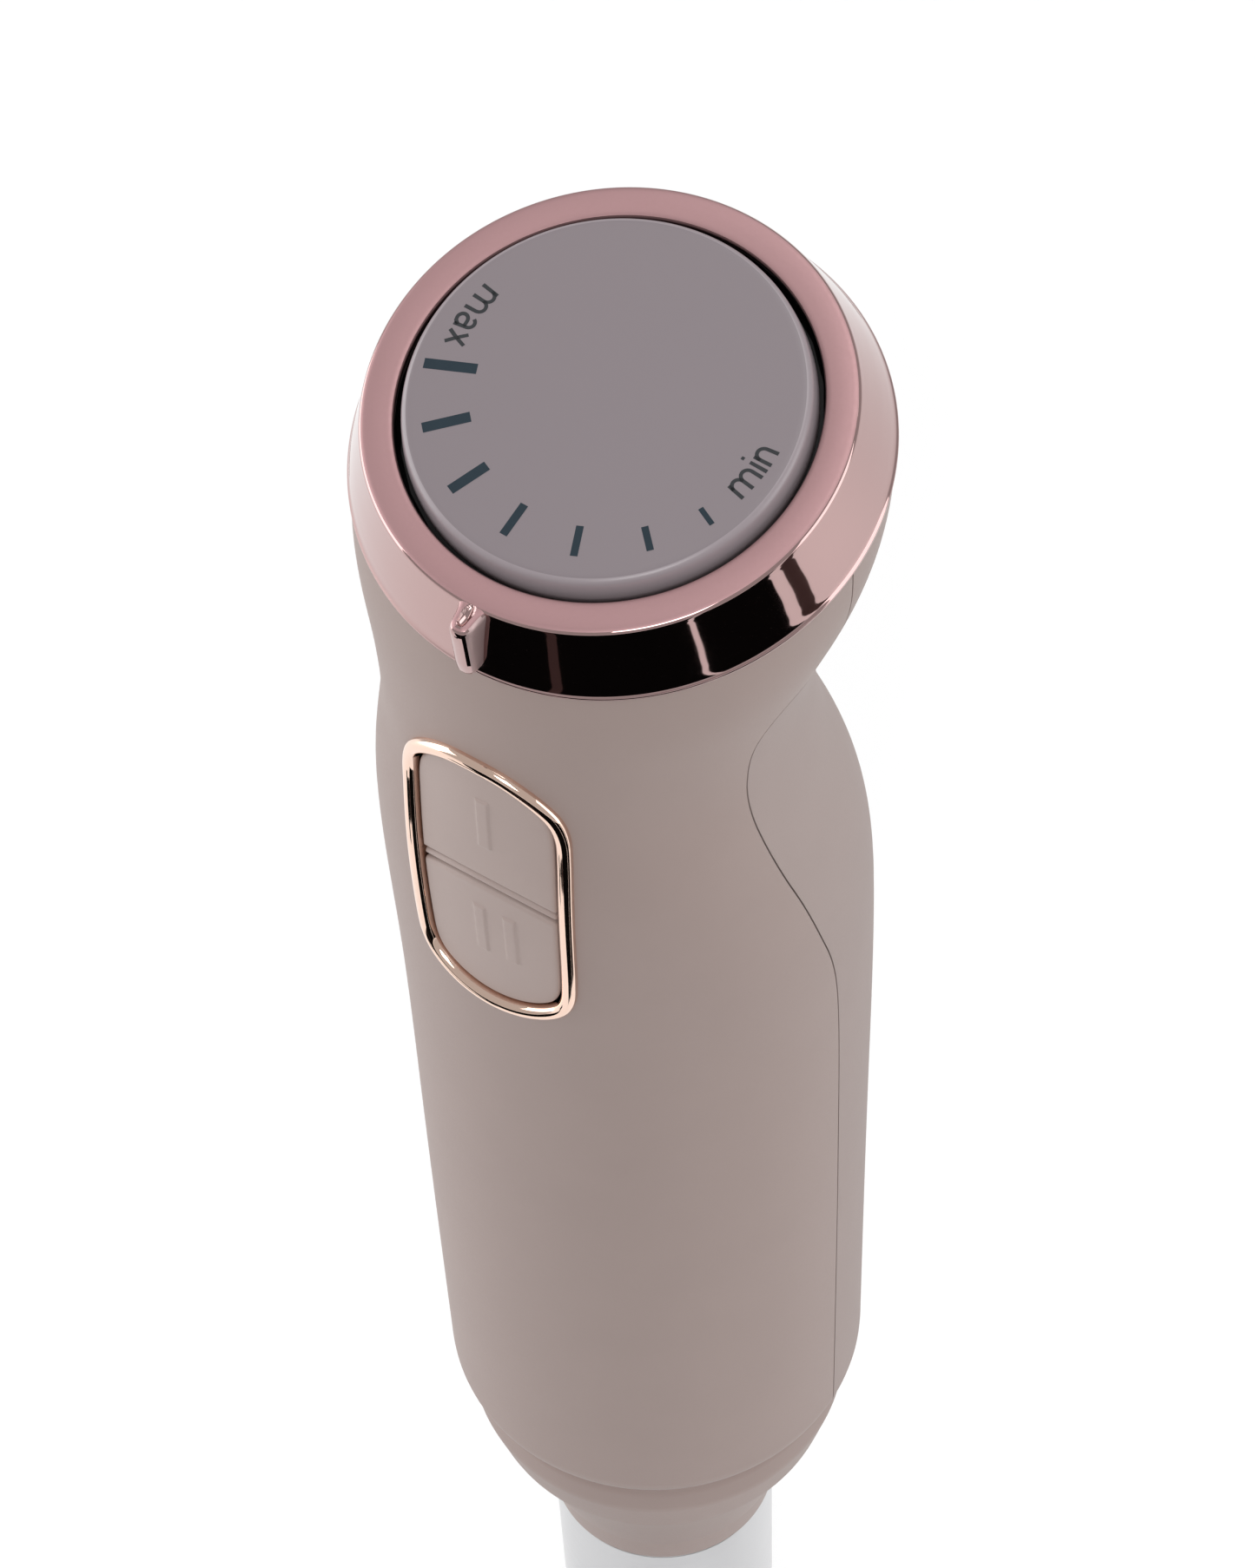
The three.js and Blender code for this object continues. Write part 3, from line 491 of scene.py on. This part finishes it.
# ---------------------------------------------------------------- shells
def build_shells():
    """Front body, back of the head and grip panel, cut from one closed shell along their seams."""
    end = END - FILLET + FILLET * np.sin(np.linspace(0, PI / 2, 13)[1:])
    levels = np.concatenate([np.linspace(HEAD_TOP, 110, 90), np.linspace(112, END - FILLET, 40), end])
    segments = 160
    angle = np.linspace(0, 2 * PI, segments, endpoint=False)
    outer = skin(levels[:, None], angle[None, :])
    inner_levels = np.linspace(FLOOR_TOP, 12, 40)
    inner = skin(np.minimum(inner_levels, 200.5)[:, None], angle[None, :], WALL)
    inner[..., 2] = np.where(inner_levels[:, None] > 200.5, DIAL_Z - inner_levels[:, None], inner[..., 2])
    inner[0, :, :2] *= 0.97
    hole = 22.6 * around(segments)
    low = np.concatenate([hole, np.full((segments, 1), DIAL_Z - END)], 1)
    high = np.concatenate([hole, np.full((segments, 1), DIAL_Z - FLOOR_TOP)], 1)
    top_in = skin(np.full(segments, HEAD_TOP), angle, WALL)
    rows = np.concatenate([outer, low[None], high[None], inner, top_in[None]])
    points = rows.reshape(-1, 3)
    faces = grid_faces(len(rows), segments) + closing_faces(len(rows), segments)

    def shell(name):
        obj = new_object(name, points, faces)
        fix_normals(obj)
        return obj

    grip = shell("grip_panel")
    boolean(grip, seam_prism(0.0, "grip"), "INTERSECT")
    cover = shell("head_back")
    boolean(cover, seam_prism(0.0, "head"), "INTERSECT")
    boolean(cover, seam_prism(SEAM_GAP, "grip"))
    front = shell("front_body")
    boolean(front, seam_prism(SEAM_GAP, "grip"))
    boolean(front, seam_prism(SEAM_GAP, "head"))
    window = button_outline(0.2, 0.6)
    boolean(front, prism("cut", *[[(x, y, DIAL_Z + z) for x, z in window] for y in (-60, -15)]))
    gland = lathe("cut", [(0, 10), (6.7, 10), (6.7, 60), (0, 60)], 48)
    gland.data.transform(Matrix.Rotation(-PI / 2, 4, "X"))
    gland.data.transform(Matrix.Translation((0, 0, (DIAL_Z - 36) * MM)))
    boolean(cover, gland, remove=False)
    boolean(grip, gland)
    for obj, mat, node in ((front, "shell", "front_shell"), (grip, "grip", "rear_grip_shell"),
                           (cover, "shell", "rear_head_cover")):
        skin_normals(obj)
        dress(obj, mat, "motor_unit", node)


def skin_normals(obj):
    """Gives the outside faces the exact normals of the skin, so that cuts leave no trace in the shading."""
    mesh = obj.data
    n = len(mesh.vertices)
    co = np.zeros(n * 3)
    mesh.vertices.foreach_get("co", co)
    co = co.reshape(-1, 3) / MM
    # parameters of each vertex on the skin
    s = np.clip(DIAL_Z - co[:, 2], HEAD_TOP, END)
    for _ in range(20):
        dy = co[:, 1] - offset_at(s)
        s = np.clip(DIAL_Z - co[:, 2] + dy * np.tan(tilt_at(s)), HEAD_TOP, END)
    a = np.arctan2((co[:, 1] - offset_at(s)) / np.cos(tilt_at(s)), co[:, 0])
    on_skin = skin(s, a)
    near = np.linalg.norm(on_skin - co, axis=1) < 0.35
    exact = skin_normal(np.clip(s, 10.9, END - 0.3), a)
    loops = np.zeros(len(mesh.loops), int)
    mesh.loops.foreach_get("vertex_index", loops)
    face_normal = np.zeros(len(mesh.polygons) * 3)
    mesh.polygons.foreach_get("normal", face_normal)
    face_normal = face_normal.reshape(-1, 3)
    starts = np.array([p.loop_start for p in mesh.polygons])
    totals = np.array([p.loop_total for p in mesh.polygons])
    face_of = np.repeat(np.arange(len(starts)), totals)
    order = np.concatenate([np.arange(a0, a0 + t0) for a0, t0 in zip(starts, totals)])
    face_of_loop = np.empty(len(loops), int)
    face_of_loop[order] = face_of
    fn = face_normal[face_of_loop]
    ex = exact[loops]
    use = near[loops] & ((fn * ex).sum(1) > 0.75)
    normals = np.where(use[:, None], ex, fn)
    mesh.polygons.foreach_set("use_smooth", [True] * len(mesh.polygons))
    mesh.normals_split_custom_set(normals.tolist())


# ---------------------------------------------------------------- bezel
def build_bezel():
    """Raised frame round the buttons: a flattened half-round bar along the outline."""
    path = button_outline(1.0)
    n = len(path)
    s, a = front_point(path[:, 0], path[:, 1])
    p = skin(s, a)
    normal = skin_normal(s, a)
    tangent = np.roll(p, -1, 0) - np.roll(p, 1, 0)
    tangent /= np.linalg.norm(tangent, axis=1, keepdims=True)
    side = np.cross(normal, tangent)
    t = np.linspace(-0.15 * PI, 1.15 * PI, 30)
    across, height = (np.sign(w) * np.abs(w) ** 0.82 for w in (np.cos(t), np.sin(t)))
    shape = list(zip(across, 1.1 * height)) + [(-0.8, -1.4), (0.8, -1.4)]
    rows = np.array([p + side * u + normal * v for u, v in shape])
    faces = grid_faces(len(shape), n) + closing_faces(len(shape), n)
    obj = new_object("bezel_frame", rows.reshape(-1, 3), faces)
    fix_normals(obj)
    obj.data.set_sharp_from_angle(angle=math.radians(50))
    dress(obj, "bezel", "motor_unit", "button_bezel")


# ---------------------------------------------------------------- buttons
SPLIT_ARCH = 0.028
BUTTON_DEPTH = 2.3
STROKE_RELIEF = 0.22
STROKE_SLOPE = 0.16
EDGE_RADIUS = 0.62


def distance_to(points, closed):
    """Distance of 2-D points to a closed outline."""
    a = closed
    b = np.roll(closed, -1, 0)
    d = b - a
    best = np.full(len(points), 1e9)
    for i in range(len(a)):
        t = np.clip(((points - a[i]) @ d[i]) / max(d[i] @ d[i], 1e-12), 0, 1)
        best = np.minimum(best, np.linalg.norm(points - (a[i] + t[:, None] * d[i]), axis=1))
    return best


def inside(points, closed):
    """Whether each 2-D point lies within a closed outline."""
    x, y = points[:, 0], points[:, 1]
    odd = np.zeros(len(points), bool)
    for (x0, y0), (x1, y1) in zip(closed, np.roll(closed, -1, 0)):
        if y0 == y1:
            continue
        odd ^= ((y0 > y) != (y1 > y)) & (x < (x1 - x0) * (y - y0) / (y1 - y0) + x0)
    return odd


def step(t):
    """Smooth step from 0 to 1."""
    t = np.clip(t, 0, 1)
    return t * t * (3 - 2 * t)


def cut_outline(outline, low=None, high=None):
    """The outline's part above one level and below another; the levels arch down to the sides."""
    p = np.column_stack([outline[:, 0], outline[:, 1] + SPLIT_ARCH * outline[:, 0] ** 2])
    for limit, keep_above in ((low, True), (high, False)):
        if limit is None:
            continue
        out = []
        for i in range(len(p)):
            a, b = p[i], p[(i + 1) % len(p)]
            ia = a[1] >= limit if keep_above else a[1] <= limit
            ib = b[1] >= limit if keep_above else b[1] <= limit
            if ia:
                out.append(a)
            if ia != ib:
                out.append(a + (b - a) * (limit - a[1]) / (b[1] - a[1]))
        p = resample(np.array(out), 0.25)
    p[:, 1] -= SPLIT_ARCH * p[:, 0] ** 2
    return p


def bars_height(points, bars):
    """Relief of the raised strokes on a button: 1 on a stroke, 0 away from it."""
    h = np.zeros(len(points))
    for x, z, w, l in bars:
        d = np.maximum(np.abs(points[:, 0] - x) - w / 2, np.abs(points[:, 1] - z) - l / 2)
        h = np.maximum(h, 1 - step((d + STROKE_SLOPE) / (2 * STROKE_SLOPE)))
    return h


def build_button(name, outline, bars, node, body, base=0.0):
    """Plate with a rounded edge and raised strokes that follows the skin's front."""
    closed = relax(resample(outline, 0.3), 3)
    low, high = closed.min(0), closed.max(0)
    gx = np.arange(low[0], high[0], 0.34)
    gz = np.arange(low[1], high[1], 0.34)
    grid = np.array([(x, z) for x in gx for z in gz])
    for x, z, w, l in bars:
        for off in (-STROKE_SLOPE, -0.05, 0.05, STROKE_SLOPE):
            hw, hl = w / 2 + off, l / 2 + off
            level = np.arange(-hl, hl, 0.3)
            grid = np.vstack([grid, [(x - hw, z + t) for t in level], [(x + hw, z + t) for t in level],
                              [(x + t, z - hl) for t in np.arange(-hw, hw, 0.2)],
                              [(x + t, z + hl) for t in np.arange(-hw, hw, 0.2)]])
    grid = grid[inside(grid, closed)]
    grid = grid[distance_to(grid, closed) > 0.8]
    t = np.roll(closed, -1, 0) - np.roll(closed, 1, 0)
    t /= np.linalg.norm(t, axis=1, keepdims=True)
    inwards = np.stack([-t[:, 1], t[:, 0]], -1)
    if ((closed.mean(0) - closed) * inwards).sum() < 0:
        inwards = -inwards
    rings = [closed + inwards * inset for inset in (0.0, 0.06, 0.16, 0.3, 0.48, 0.7)]
    points = np.vstack(rings + [grid])
    n = len(closed)
    edges = [(i, (i + 1) % n) for i in range(n)]
    verts, _, tris, *_ = delaunay_2d_cdt([Vector(p) for p in points], edges, [], 1, 1e-6)
    flat = np.array([v[:] for v in verts])
    d = distance_to(flat, closed)
    r = EDGE_RADIUS
    edge = np.where(d < r, r - np.sqrt(np.maximum(r * r - (r - d) ** 2, 0)), 0)
    h = base - edge + STROKE_RELIEF * bars_height(flat, bars) * step((d - 0.6) / 0.5)
    top = raised_front(flat[:, 0], flat[:, 1], h)
    # border wall down to the depth of the plate
    uses = {}
    for t in tris:
        for i in range(3):
            e = tuple(sorted((t[i], t[(i + 1) % 3])))
            uses[e] = uses.get(e, 0) + 1
    border = [e for e, count in uses.items() if count == 1]
    ring = sorted(set(i for e in border for i in e))
    below = {v: len(top) + k for k, v in enumerate(ring)}
    lower = raised_front(flat[ring, 0], flat[ring, 1], np.full(len(ring), base - BUTTON_DEPTH))
    faces = [tuple(t) for t in tris] + [(a, b, below[b], below[a]) for a, b in border]
    obj = new_object(name, np.vstack([top, lower]), faces)
    fix_normals(obj)
    obj.data.set_sharp_from_angle(angle=math.radians(60))
    dress(obj, "button", body, node)


def build_buttons():
    """Two buttons, and between them the strip that the two grooves leave."""
    field = button_outline(2.15, 0.3)
    upper = cut_outline(field, low=-57.15)
    lower = cut_outline(field, high=-59.35)
    strip = cut_outline(cut_outline(field, low=-58.85), high=-57.65)
    build_button("button_one", upper, [(0.9, -45.6, 1.7, 9.4)], "button_1", "upper_button")
    two_bars = [(-0.7, -68.6, 1.6, 9.4), (3.5, -68.6, 1.6, 9.4)]
    build_button("button_two", lower, two_bars, "button_2", "lower_button")
    build_button("groove_strip", strip, [], "button_divider", "motor_unit", base=-0.15)


# ---------------------------------------------------------------- speed ring
# section of the ring as (radius, height over its top plane), from the inner wall over the top to the foot
RING = [
    (25.27, -6.4), (25.25, 0.0), (25.28, 0.22), (25.42, 0.4), (25.7, 0.49), (26.4, 0.53), (27.3, 0.54),
    (28.2, 0.5), (28.85, 0.42), (29.2, 0.26), (29.4, 0.02), (29.53, -0.35), (29.66, -0.8), (29.9, -1.6),
    (30.5, -3.6), (31.2, -5.9), (31.85, -8.1), (32.35, -9.75), (32.62, -10.2), (32.6, -10.45), (32.35, -10.62),
    (31.5, -10.6), (30.9, -9.6),
]
# the pointer's half plan, out from the axis and across, and its levels as (inset, height)
NOSE_PLAN = [
    (28.35, 3.5), (28.75, 2.7), (29.15, 2.2), (29.65, 1.9), (30.4, 1.7), (31.1, 1.6), (31.8, 1.5), (32.4, 1.3),
    (32.85, 0.9), (33.03, 0.45), (33.07, 0),
]
NOSE_LEVELS = [
    (0.9, -9.1), (0.45, -9.0), (0.15, -8.7), (0.0, -8.2), (0.0, -6.5), (0, -4.5), (0, -2.5), (0, -0.9),
    (0.05, -0.5), (0.17, -0.18), (0.36, 0.06), (0.62, 0.2), (0.95, 0.26),
]
NOSE_TOP = 0.26
DIMPLE_OUT = 30.6


def turned_ring():
    """The ring without its pointer."""
    p = np.array(RING)
    p = np.vstack([p[:2], spline(p[2:20], 5), p[20:]])
    points, faces = turned(p, 384)
    obj = new_object("dial_ring", to_head(points), faces + closing_faces(len(p), 384))
    fix_normals(obj)
    return obj


def pointer_nose():
    """Upright fin at the ring's front, with rounded rims and a drop-shaped dimple on its top."""
    outline = spline([(r, -x) for r, x in NOSE_PLAN] + [(r, x) for r, x in NOSE_PLAN[-2::-1]], 6)
    n = len(outline)
    t = np.gradient(outline, axis=0)
    t /= np.linalg.norm(t, axis=1, keepdims=True)
    inward = np.stack([-t[:, 1], t[:, 0]], -1)
    rows = []
    for inset, h in NOSE_LEVELS:
        flank = np.interp(-h, [-0.3, 0.4, 1.6, 10.6], [28.6, 28.9, 29.5, 32.3])
        row = outline + inward * inset
        row[:, 0] += 0.11 * max(-h, 0) * np.clip((row[:, 0] - 30.5) / 2, 0, 1)
        row[:, 0] = np.maximum(row[:, 0], min(flank - 0.7, 28.35) if h > -1 else flank - 0.7)
        rows.append(np.column_stack([-row[:, 1], -row[:, 0], np.full(n, h)]))
    points = np.array(rows).reshape(-1, 3)
    faces = grid_faces(len(rows), n) + [tuple(range(n))]
    # top, filled with a fine net that dips into the dimple
    rim = rows[-1][:, :2]
    gx, gy = np.meshgrid(np.arange(-4, 4.01, 0.12), np.arange(-33.2, -28.3, 0.12))
    grid = np.column_stack([gx.ravel(), gy.ravel()])
    grid = grid[inside(grid, rim)]
    grid = grid[distance_to(grid, rim) > 0.08]
    edges = [(i, (i + 1) % n) for i in range(n)]
    verts, _, tris, *_ = delaunay_2d_cdt([Vector(q) for q in np.vstack([rim, grid])], edges, [], 1, 1e-6)
    flat = np.array([v[:] for v in verts])
    along = (-flat[:, 1] - DIMPLE_OUT) / 1.5
    d = np.sqrt((flat[:, 0] / (0.62 + 0.16 * along)) ** 2 + along ** 2)
    lip = np.exp(-((d - 1.12) / 0.2) ** 2)
    top_z = NOSE_TOP - 0.42 * np.clip(1 - d ** 2, 0, 1) ** 0.6 + 0.07 * lip
    faces += [tuple(len(points) + i for i in tri) for tri in tris]
    nose = new_object("pointer_nose", to_head(np.vstack([points, np.column_stack([flat, top_z])])), faces)
    fix_normals(nose, 2e-6)
    nose.data.set_sharp_from_angle(angle=math.radians(60))
    return nose


def build_ring():
    """Ring and pointer: polished, with a satin band on top, and on the pointer's right side smooth satin in a
    lighter colour that is a painted highlight.
    """
    c, s = math.cos(TILT), math.sin(TILT)
    ring, nose = turned_ring(), pointer_nose()
    for obj in (ring, nose):
        dress(obj, "ring", "dial_ring", "speed_ring")
        obj.data.materials.append(MAT["ring_top"])
        obj.data.materials.append(MAT["ring_side_painted_light"])
        for f in obj.data.polygons:
            upward = -f.normal.y * s + f.normal.z * c
            x, y, z = f.center.x / MM, f.center.y / MM, f.center.z / MM - DIAL_Z
            height, out = -y * s + z * c, -y * c - z * s
            dimple = obj is nose and math.hypot(x / 0.8, (out - DIMPLE_OUT) / 1.8) < 1
            f.material_index = 1 if upward > 0.86 and height > -0.5 and not dimple else 0
            # painted highlight: the pointer's faces that look to the right get the lighter satin copy of the
            # ring's colour
            if obj is nose and f.normal.x > 0.75:
                f.material_index = 2


# ---------------------------------------------------------------- dial disc and its print
PRINT_Z = 2.715
SCALE_MIDDLE = np.array([-0.34, 1.7])
SCALE_RADIUS = 22.4
# angle, length and width of each mark, from the fastest setting to the slowest
MARKS = [
    (200.8, 6.4, 1.34), (222.8, 5.75, 1.34), (246, 5.15, 1.3), (268.7, 4.45, 1.03), (291.5, 3.9, 0.9),
    (314.3, 3.2, 0.85), (334, 2.55, 0.66),
]
# word, angle and radius of its middle
WORDS = [("max", 180.4, 19.65), ("min", 355.0, 20.95)]
LETTER_HEIGHT = 2.4
LETTER_STROKE = 0.195


def ribbon(points, width):
    """Flat strip of constant width along a line, as vertices and faces in the plane."""
    p = np.asarray(points, float)
    t = np.gradient(p, axis=0)
    t /= np.maximum(np.linalg.norm(t, axis=1, keepdims=True), 1e-9)
    n = np.stack([-t[:, 1], t[:, 0]], -1) * width / 2
    v = np.vstack([p + n, p - n])
    k = len(p)
    f = [(i, i + 1, k + i + 1, k + i) for i in range(k - 1)]
    return v, f


def arc(cx, cy, rx, ry, a0, a1, n=18):
    """Points of an elliptic arc between two angles in degrees."""
    t = np.radians(np.linspace(a0, a1, n))
    return np.stack([cx + rx * np.cos(t), cy + ry * np.sin(t)], -1)


def letters(word):
    """Strokes of a word in units of the x-height, with its width."""
    strokes = []
    x = 0.0
    for ch in word:
        if ch == "m":
            strokes.append([(x, 0), (x, 1.0)])
            for k in (0, 1):
                left = x + 0.66 * k
                top = arc(left + 0.33, 0.64, 0.33, 0.34, 180, 0)
                strokes.append(np.vstack([top, [(left + 0.66, 0)]]))
            x += 1.32
        elif ch == "n":
            strokes.append([(x, 0), (x, 1.0)])
            top = arc(x + 0.33, 0.64, 0.33, 0.34, 180, 0)
            strokes.append(np.vstack([top, [(x + 0.66, 0)]]))
            x += 0.66
        elif ch == "i":
            strokes.append([(x, 0), (x, 1.0)])
            strokes.append([(x, 1.33), (x, 1.5)])
        elif ch == "a":
            strokes.append(np.vstack([arc(x + 0.33, 0.68, 0.3, 0.31, 150, 0), [(x + 0.63, 0)]]))
            strokes.append(np.vstack([[(x + 0.63, 0.56)], arc(x + 0.3, 0.29, 0.29, 0.28, 90, 270),
                                      [(x + 0.45, 0.03), (x + 0.63, 0.22)]]))
            x += 0.63
        elif ch == "x":
            strokes.append([(x, 0), (x + 0.66, 1.0)])
            strokes.append([(x, 1.0), (x + 0.66, 0)])
            x += 0.66
        x += 0.36
    return strokes, x - 0.36


def print_piece(name, points, faces, mat):
    """Thin print just above the dial's face."""
    raised = np.column_stack([points, np.full(len(points), PRINT_Z)])
    obj = new_object(name, to_head(raised), faces, smooth=False)
    b = bmesh.new()
    b.from_mesh(obj.data)
    for f in b.faces:
        f.normal_update()
        if f.normal.z < 0:
            f.normal_flip()
    b.to_mesh(obj.data)
    b.free()
    dress(obj, mat, "motor_unit", slot="dial_face")


def build_dial():
    """Disc whose rounded rim and wall are painted lighter than its face, painted light that lifts their shade
    and stands in for the rim's highlight, with its seven marks and two words.
    """
    profile = [(0, -2.1), (24.3, -2.1), (24.4, -1.9), (24.4, -0.3), (24.25, 0.8), (24.12, 1.7), (24.02, 2.05),
               (23.88, 2.3), (23.68, 2.5), (23.42, 2.63), (23.1, 2.69), (22.7, 2.7), (12, 2.7), (0, 2.7)]
    obj = lathe("dial_face_disc", profile, 256, head=True, sharp=50)
    dress(obj, "disc", "motor_unit", "dial_disc")
    # painted light: faces that tilt away from the dial's axis (the rounded rim and the wall) get the lighter
    # copy, standing in for light that the ring's shade keeps off them
    obj.data.materials.append(MAT["disc_rim_painted_light"])
    for f in obj.data.polygons:
        f.material_index = 1 if f.normal.z * math.cos(TILT) - f.normal.y * math.sin(TILT) < 0.97 else 0
    for i, (deg, length, width) in enumerate(MARKS):
        a = math.radians(deg)
        d = np.array([math.cos(a), math.sin(a)])
        v, f = ribbon([d * (SCALE_RADIUS - length * k) for k in (1, 0.5, 0)], width)
        print_piece(f"scale_mark_{i + 1}", v + SCALE_MIDDLE, f, "mark")
    for word, deg, radius in WORDS:
        strokes, width = letters(word)
        vs, fs = [], []
        for stroke in strokes:
            line = np.asarray(stroke, float)
            if len(line) == 2:
                line = np.linspace(line[0], line[1], 4)
            v, f = ribbon(line, LETTER_STROKE)
            base = sum(len(q) for q in vs)
            # letters follow the scale's arc, their tops towards its middle
            turn = math.radians(deg) + (v[:, 0] - width / 2) * LETTER_HEIGHT / radius
            out = radius - (v[:, 1] - 0.5) * LETTER_HEIGHT
            vs.append(np.column_stack([out * np.cos(turn), out * np.sin(turn)]) + SCALE_MIDDLE)
            fs += [tuple(k + base for k in q) for q in f]
        print_piece(f"scale_word_{word}", np.vstack(vs), fs, "text")


# ---------------------------------------------------------------- blending foot
def build_foot():
    """Collar, tube and bell of the detachable foot."""
    bell = rounded([
        (36, 0), (35.4, 8), (32, 18), (25.4, 26.4), (16.6, 33.2), (14.2, 40), (12.4, 40), (12.4, 37), (6.3, 37),
        (6.3, 20), (8.8, 20), (8.8, 32.4), (14.8, 31.2), (23.8, 24.8), (30.2, 16.9), (33.5, 7.6), (34, 0)],
        [0.4, 7, 9, 9, 8, 0.3, 0.3, 0.3, 0.3, 0.5, 0.5, 1, 5, 8, 8, 6, 0.4], 7)
    guard = lathe("bell", bell, 160, sharp=40)
    # the four openings in the bell's rim
    b = [(-11, 2), (-11, 11), (-6, 14), (0, 14)]
    shape = [(-11, -5), b[0]]
    for t in np.linspace(0, 1, 12)[1:]:
        k = [(1 - t) ** 3, 3 * t * (1 - t) ** 2, 3 * t * t * (1 - t), t ** 3]
        shape.append(tuple(sum(k[i] * b[i][j] for i in range(4)) for j in range(2)))
    shape += [(-x, z) for x, z in shape[-2::-1]]
    for deg in (45, 135, 225, 315):
        a = math.radians(deg)
        c, s = math.cos(a), math.sin(a)
        near, far = ([(x * c - y * s, x * s + y * c, z) for x, z in shape] for y in (-50, -15))
        boolean(guard, prism("cut", near, far))
    guard.data.set_sharp_from_angle(angle=math.radians(40))
    m = guard.modifiers.new("edge", "BEVEL")
    m.width = 0.00025
    m.segments = 2
    m.limit_method = "ANGLE"
    m.angle_limit = math.radians(50)
    apply_modifiers(guard)
    dress(guard, "foot_steel", "foot_assembly", "bell_guard")

    wall = rounded([(14.2, 40.3), (15.6, 152), (14.2, 152), (12.7, 40.3)], 0.25)
    tube = lathe("steel_tube", wall, 128, sharp=40)
    dress(tube, "foot_steel", "foot_assembly", "foot_tube")
    collar = lathe("collar", rounded([
        (15.8, 152.3), (16.8, 158), (20, 167), (24.2, 176.5), (26.2, 184), (25.6, 187.4), (23.2, 189.4),
        (15.9, 189.4), (15.9, 204.6), (13.6, 204.6), (13.6, 152.3)],
        [0.3, 6, 10, 10, 3.5, 1.6, 1.2, 0.2, 0.3, 0.3, 0.3], 6), 160, sharp=40)
    dress(collar, "shell", "foot_assembly", "foot_collar")
    for k, side in enumerate((1, -1)):
        near, far = sorted((14.6 * side, 17.2 * side))
        lug = box_object(f"collar_lug_{k + 1}", (near, -2.7, 193), (far, 2.7, 203.4))
        dress(lug, "shell", "foot_assembly", slot="shell_taupe")


build_shells()
build_bezel()
build_buttons()
build_ring()
build_dial()
build_foot()


# ---------------------------------------------------------------- floor, light, camera
MAT_Z = 0.006
LIT_POINT = (0, 0, 0.3)


def stage_face(name, corners, mat):
    """One flat face on or near the floor."""
    mesh = bpy.data.meshes.new(name)
    mesh.from_pydata(corners, [], [tuple(range(len(corners)))])
    obj = bpy.data.objects.new(name, mesh)
    bpy.context.scene.collection.objects.link(obj)
    obj.data.materials.append(mat)
    return obj


def mat_sector(name, start, end, near, far, finish):
    """Dark mat in front of the object, out of the picture, that the plated rings reflect."""
    angles = [math.radians(start + (end - start) * i / 24) for i in range(25)]
    corners = [(near * math.cos(a), near * math.sin(a), MAT_Z) for a in angles]
    corners += [(far * math.cos(a), far * math.sin(a), MAT_Z) for a in reversed(angles)]
    obj = stage_face(name, corners, finish)
    obj.visible_camera = False
    obj.visible_diffuse = False
    obj.visible_shadow = False


def area(name, location, size, power):
    """Rectangular soft box that faces the object."""
    light = bpy.data.lights.new(name, "AREA")
    light.shape = "RECTANGLE"
    light.size, light.size_y = size
    light.energy = power
    obj = bpy.data.objects.new(name, light)
    bpy.context.scene.collection.objects.link(obj)
    obj.location = location
    obj.rotation_euler = (Vector(LIT_POINT) - Vector(location)).to_track_quat("-Z", "Y").to_euler()


floor_mat = material("pale_floor", (0.9, 0.9, 0.9), 0.7, noise=0.01, scale=3, bump=0.00002, bump_scale=300)
stage_face("floor", [(-6, -6, 0), (6, -6, 0), (6, 6, 0), (-6, 6, 0)], floor_mat)

# camera: its angles round and above the object, its roll, and where the dial lies from its axis
A, E, ROLL = math.radians(35.803), math.radians(54.542), math.radians(-2.988)
DIAL_RIGHT, DIAL_UP, DIAL_AWAY = -2.161 * MM, 43.50 * MM, 803.7 * MM
LENS, SENSOR = 159.4684385, 36
back = Vector((math.sin(A) * math.cos(E), -math.cos(A) * math.cos(E), math.sin(E)))
right = Vector((math.cos(A), math.sin(A), 0))
up = back.cross(right)
r2 = right * math.cos(ROLL) + up * math.sin(ROLL)
u2 = -right * math.sin(ROLL) + up * math.cos(ROLL)
camera = bpy.data.objects.new("camera", bpy.data.cameras.new("camera"))
bpy.context.scene.collection.objects.link(camera)
camera.data.sensor_width = SENSOR
camera.data.sensor_fit = "AUTO"
camera.data.lens = LENS
camera.data.clip_end = 20
dial = Vector((0, 0, DIAL_Z * MM))
position = dial - r2 * DIAL_RIGHT - u2 * DIAL_UP + back * DIAL_AWAY
camera.matrix_world = Matrix((
    (r2.x, u2.x, back.x, position.x),
    (r2.y, u2.y, back.y, position.y),
    (r2.z, u2.z, back.z, position.z),
    (0, 0, 0, 1),
))
bpy.context.scene.camera = camera

mat_black = material("black_mat", (0.003, 0.003, 0.003), 0.9, noise=0.2, scale=5, specular=0.0)
mat_brown = material("brown_mat", (0.06, 0.042, 0.04), 0.9, noise=0.3, scale=12, specular=0.0)
mat_sector("dark_mat_pointer", -131, -116, 0.275, 0.345, mat_black)
mat_sector("dark_mat_1", -116, -87, 0.3, 1.3, mat_black)
mat_sector("dark_mat_gap", -87, -83, 0.3, 1.3, mat_brown)
mat_sector("dark_mat_2", -83, -32, 0.2, 1.3, mat_black)
mat_sector("dark_mat_3", -29.8, 1, 0.2, 1.3, mat_black)
mat_sector("dark_mat_4", 6, 12, 0.3, 1.3, mat_brown)
area("left_box", (-1.3, -0.35, 0.55), (1.3, 1.6), 22)
area("right_box", (1.25, 0.55, 0.5), (0.9, 1.0), 8)
area("front_fill", (0.75, -1.05, 1.55), (0.8, 0.8), 17)
area("top_box", (0.1, 0.6, 1.6), (1.1, 1.1), 12)

world = bpy.data.worlds.new("studio")
bpy.context.scene.world = world
world.use_nodes = True
world.node_tree.nodes["Background"].inputs["Color"].default_value = (1, 1, 1, 1)
world.node_tree.nodes["Background"].inputs["Strength"].default_value = 0.75

bpy.context.scene.view_settings.view_transform = "Standard"
bpy.context.scene.view_settings.exposure = -0.55
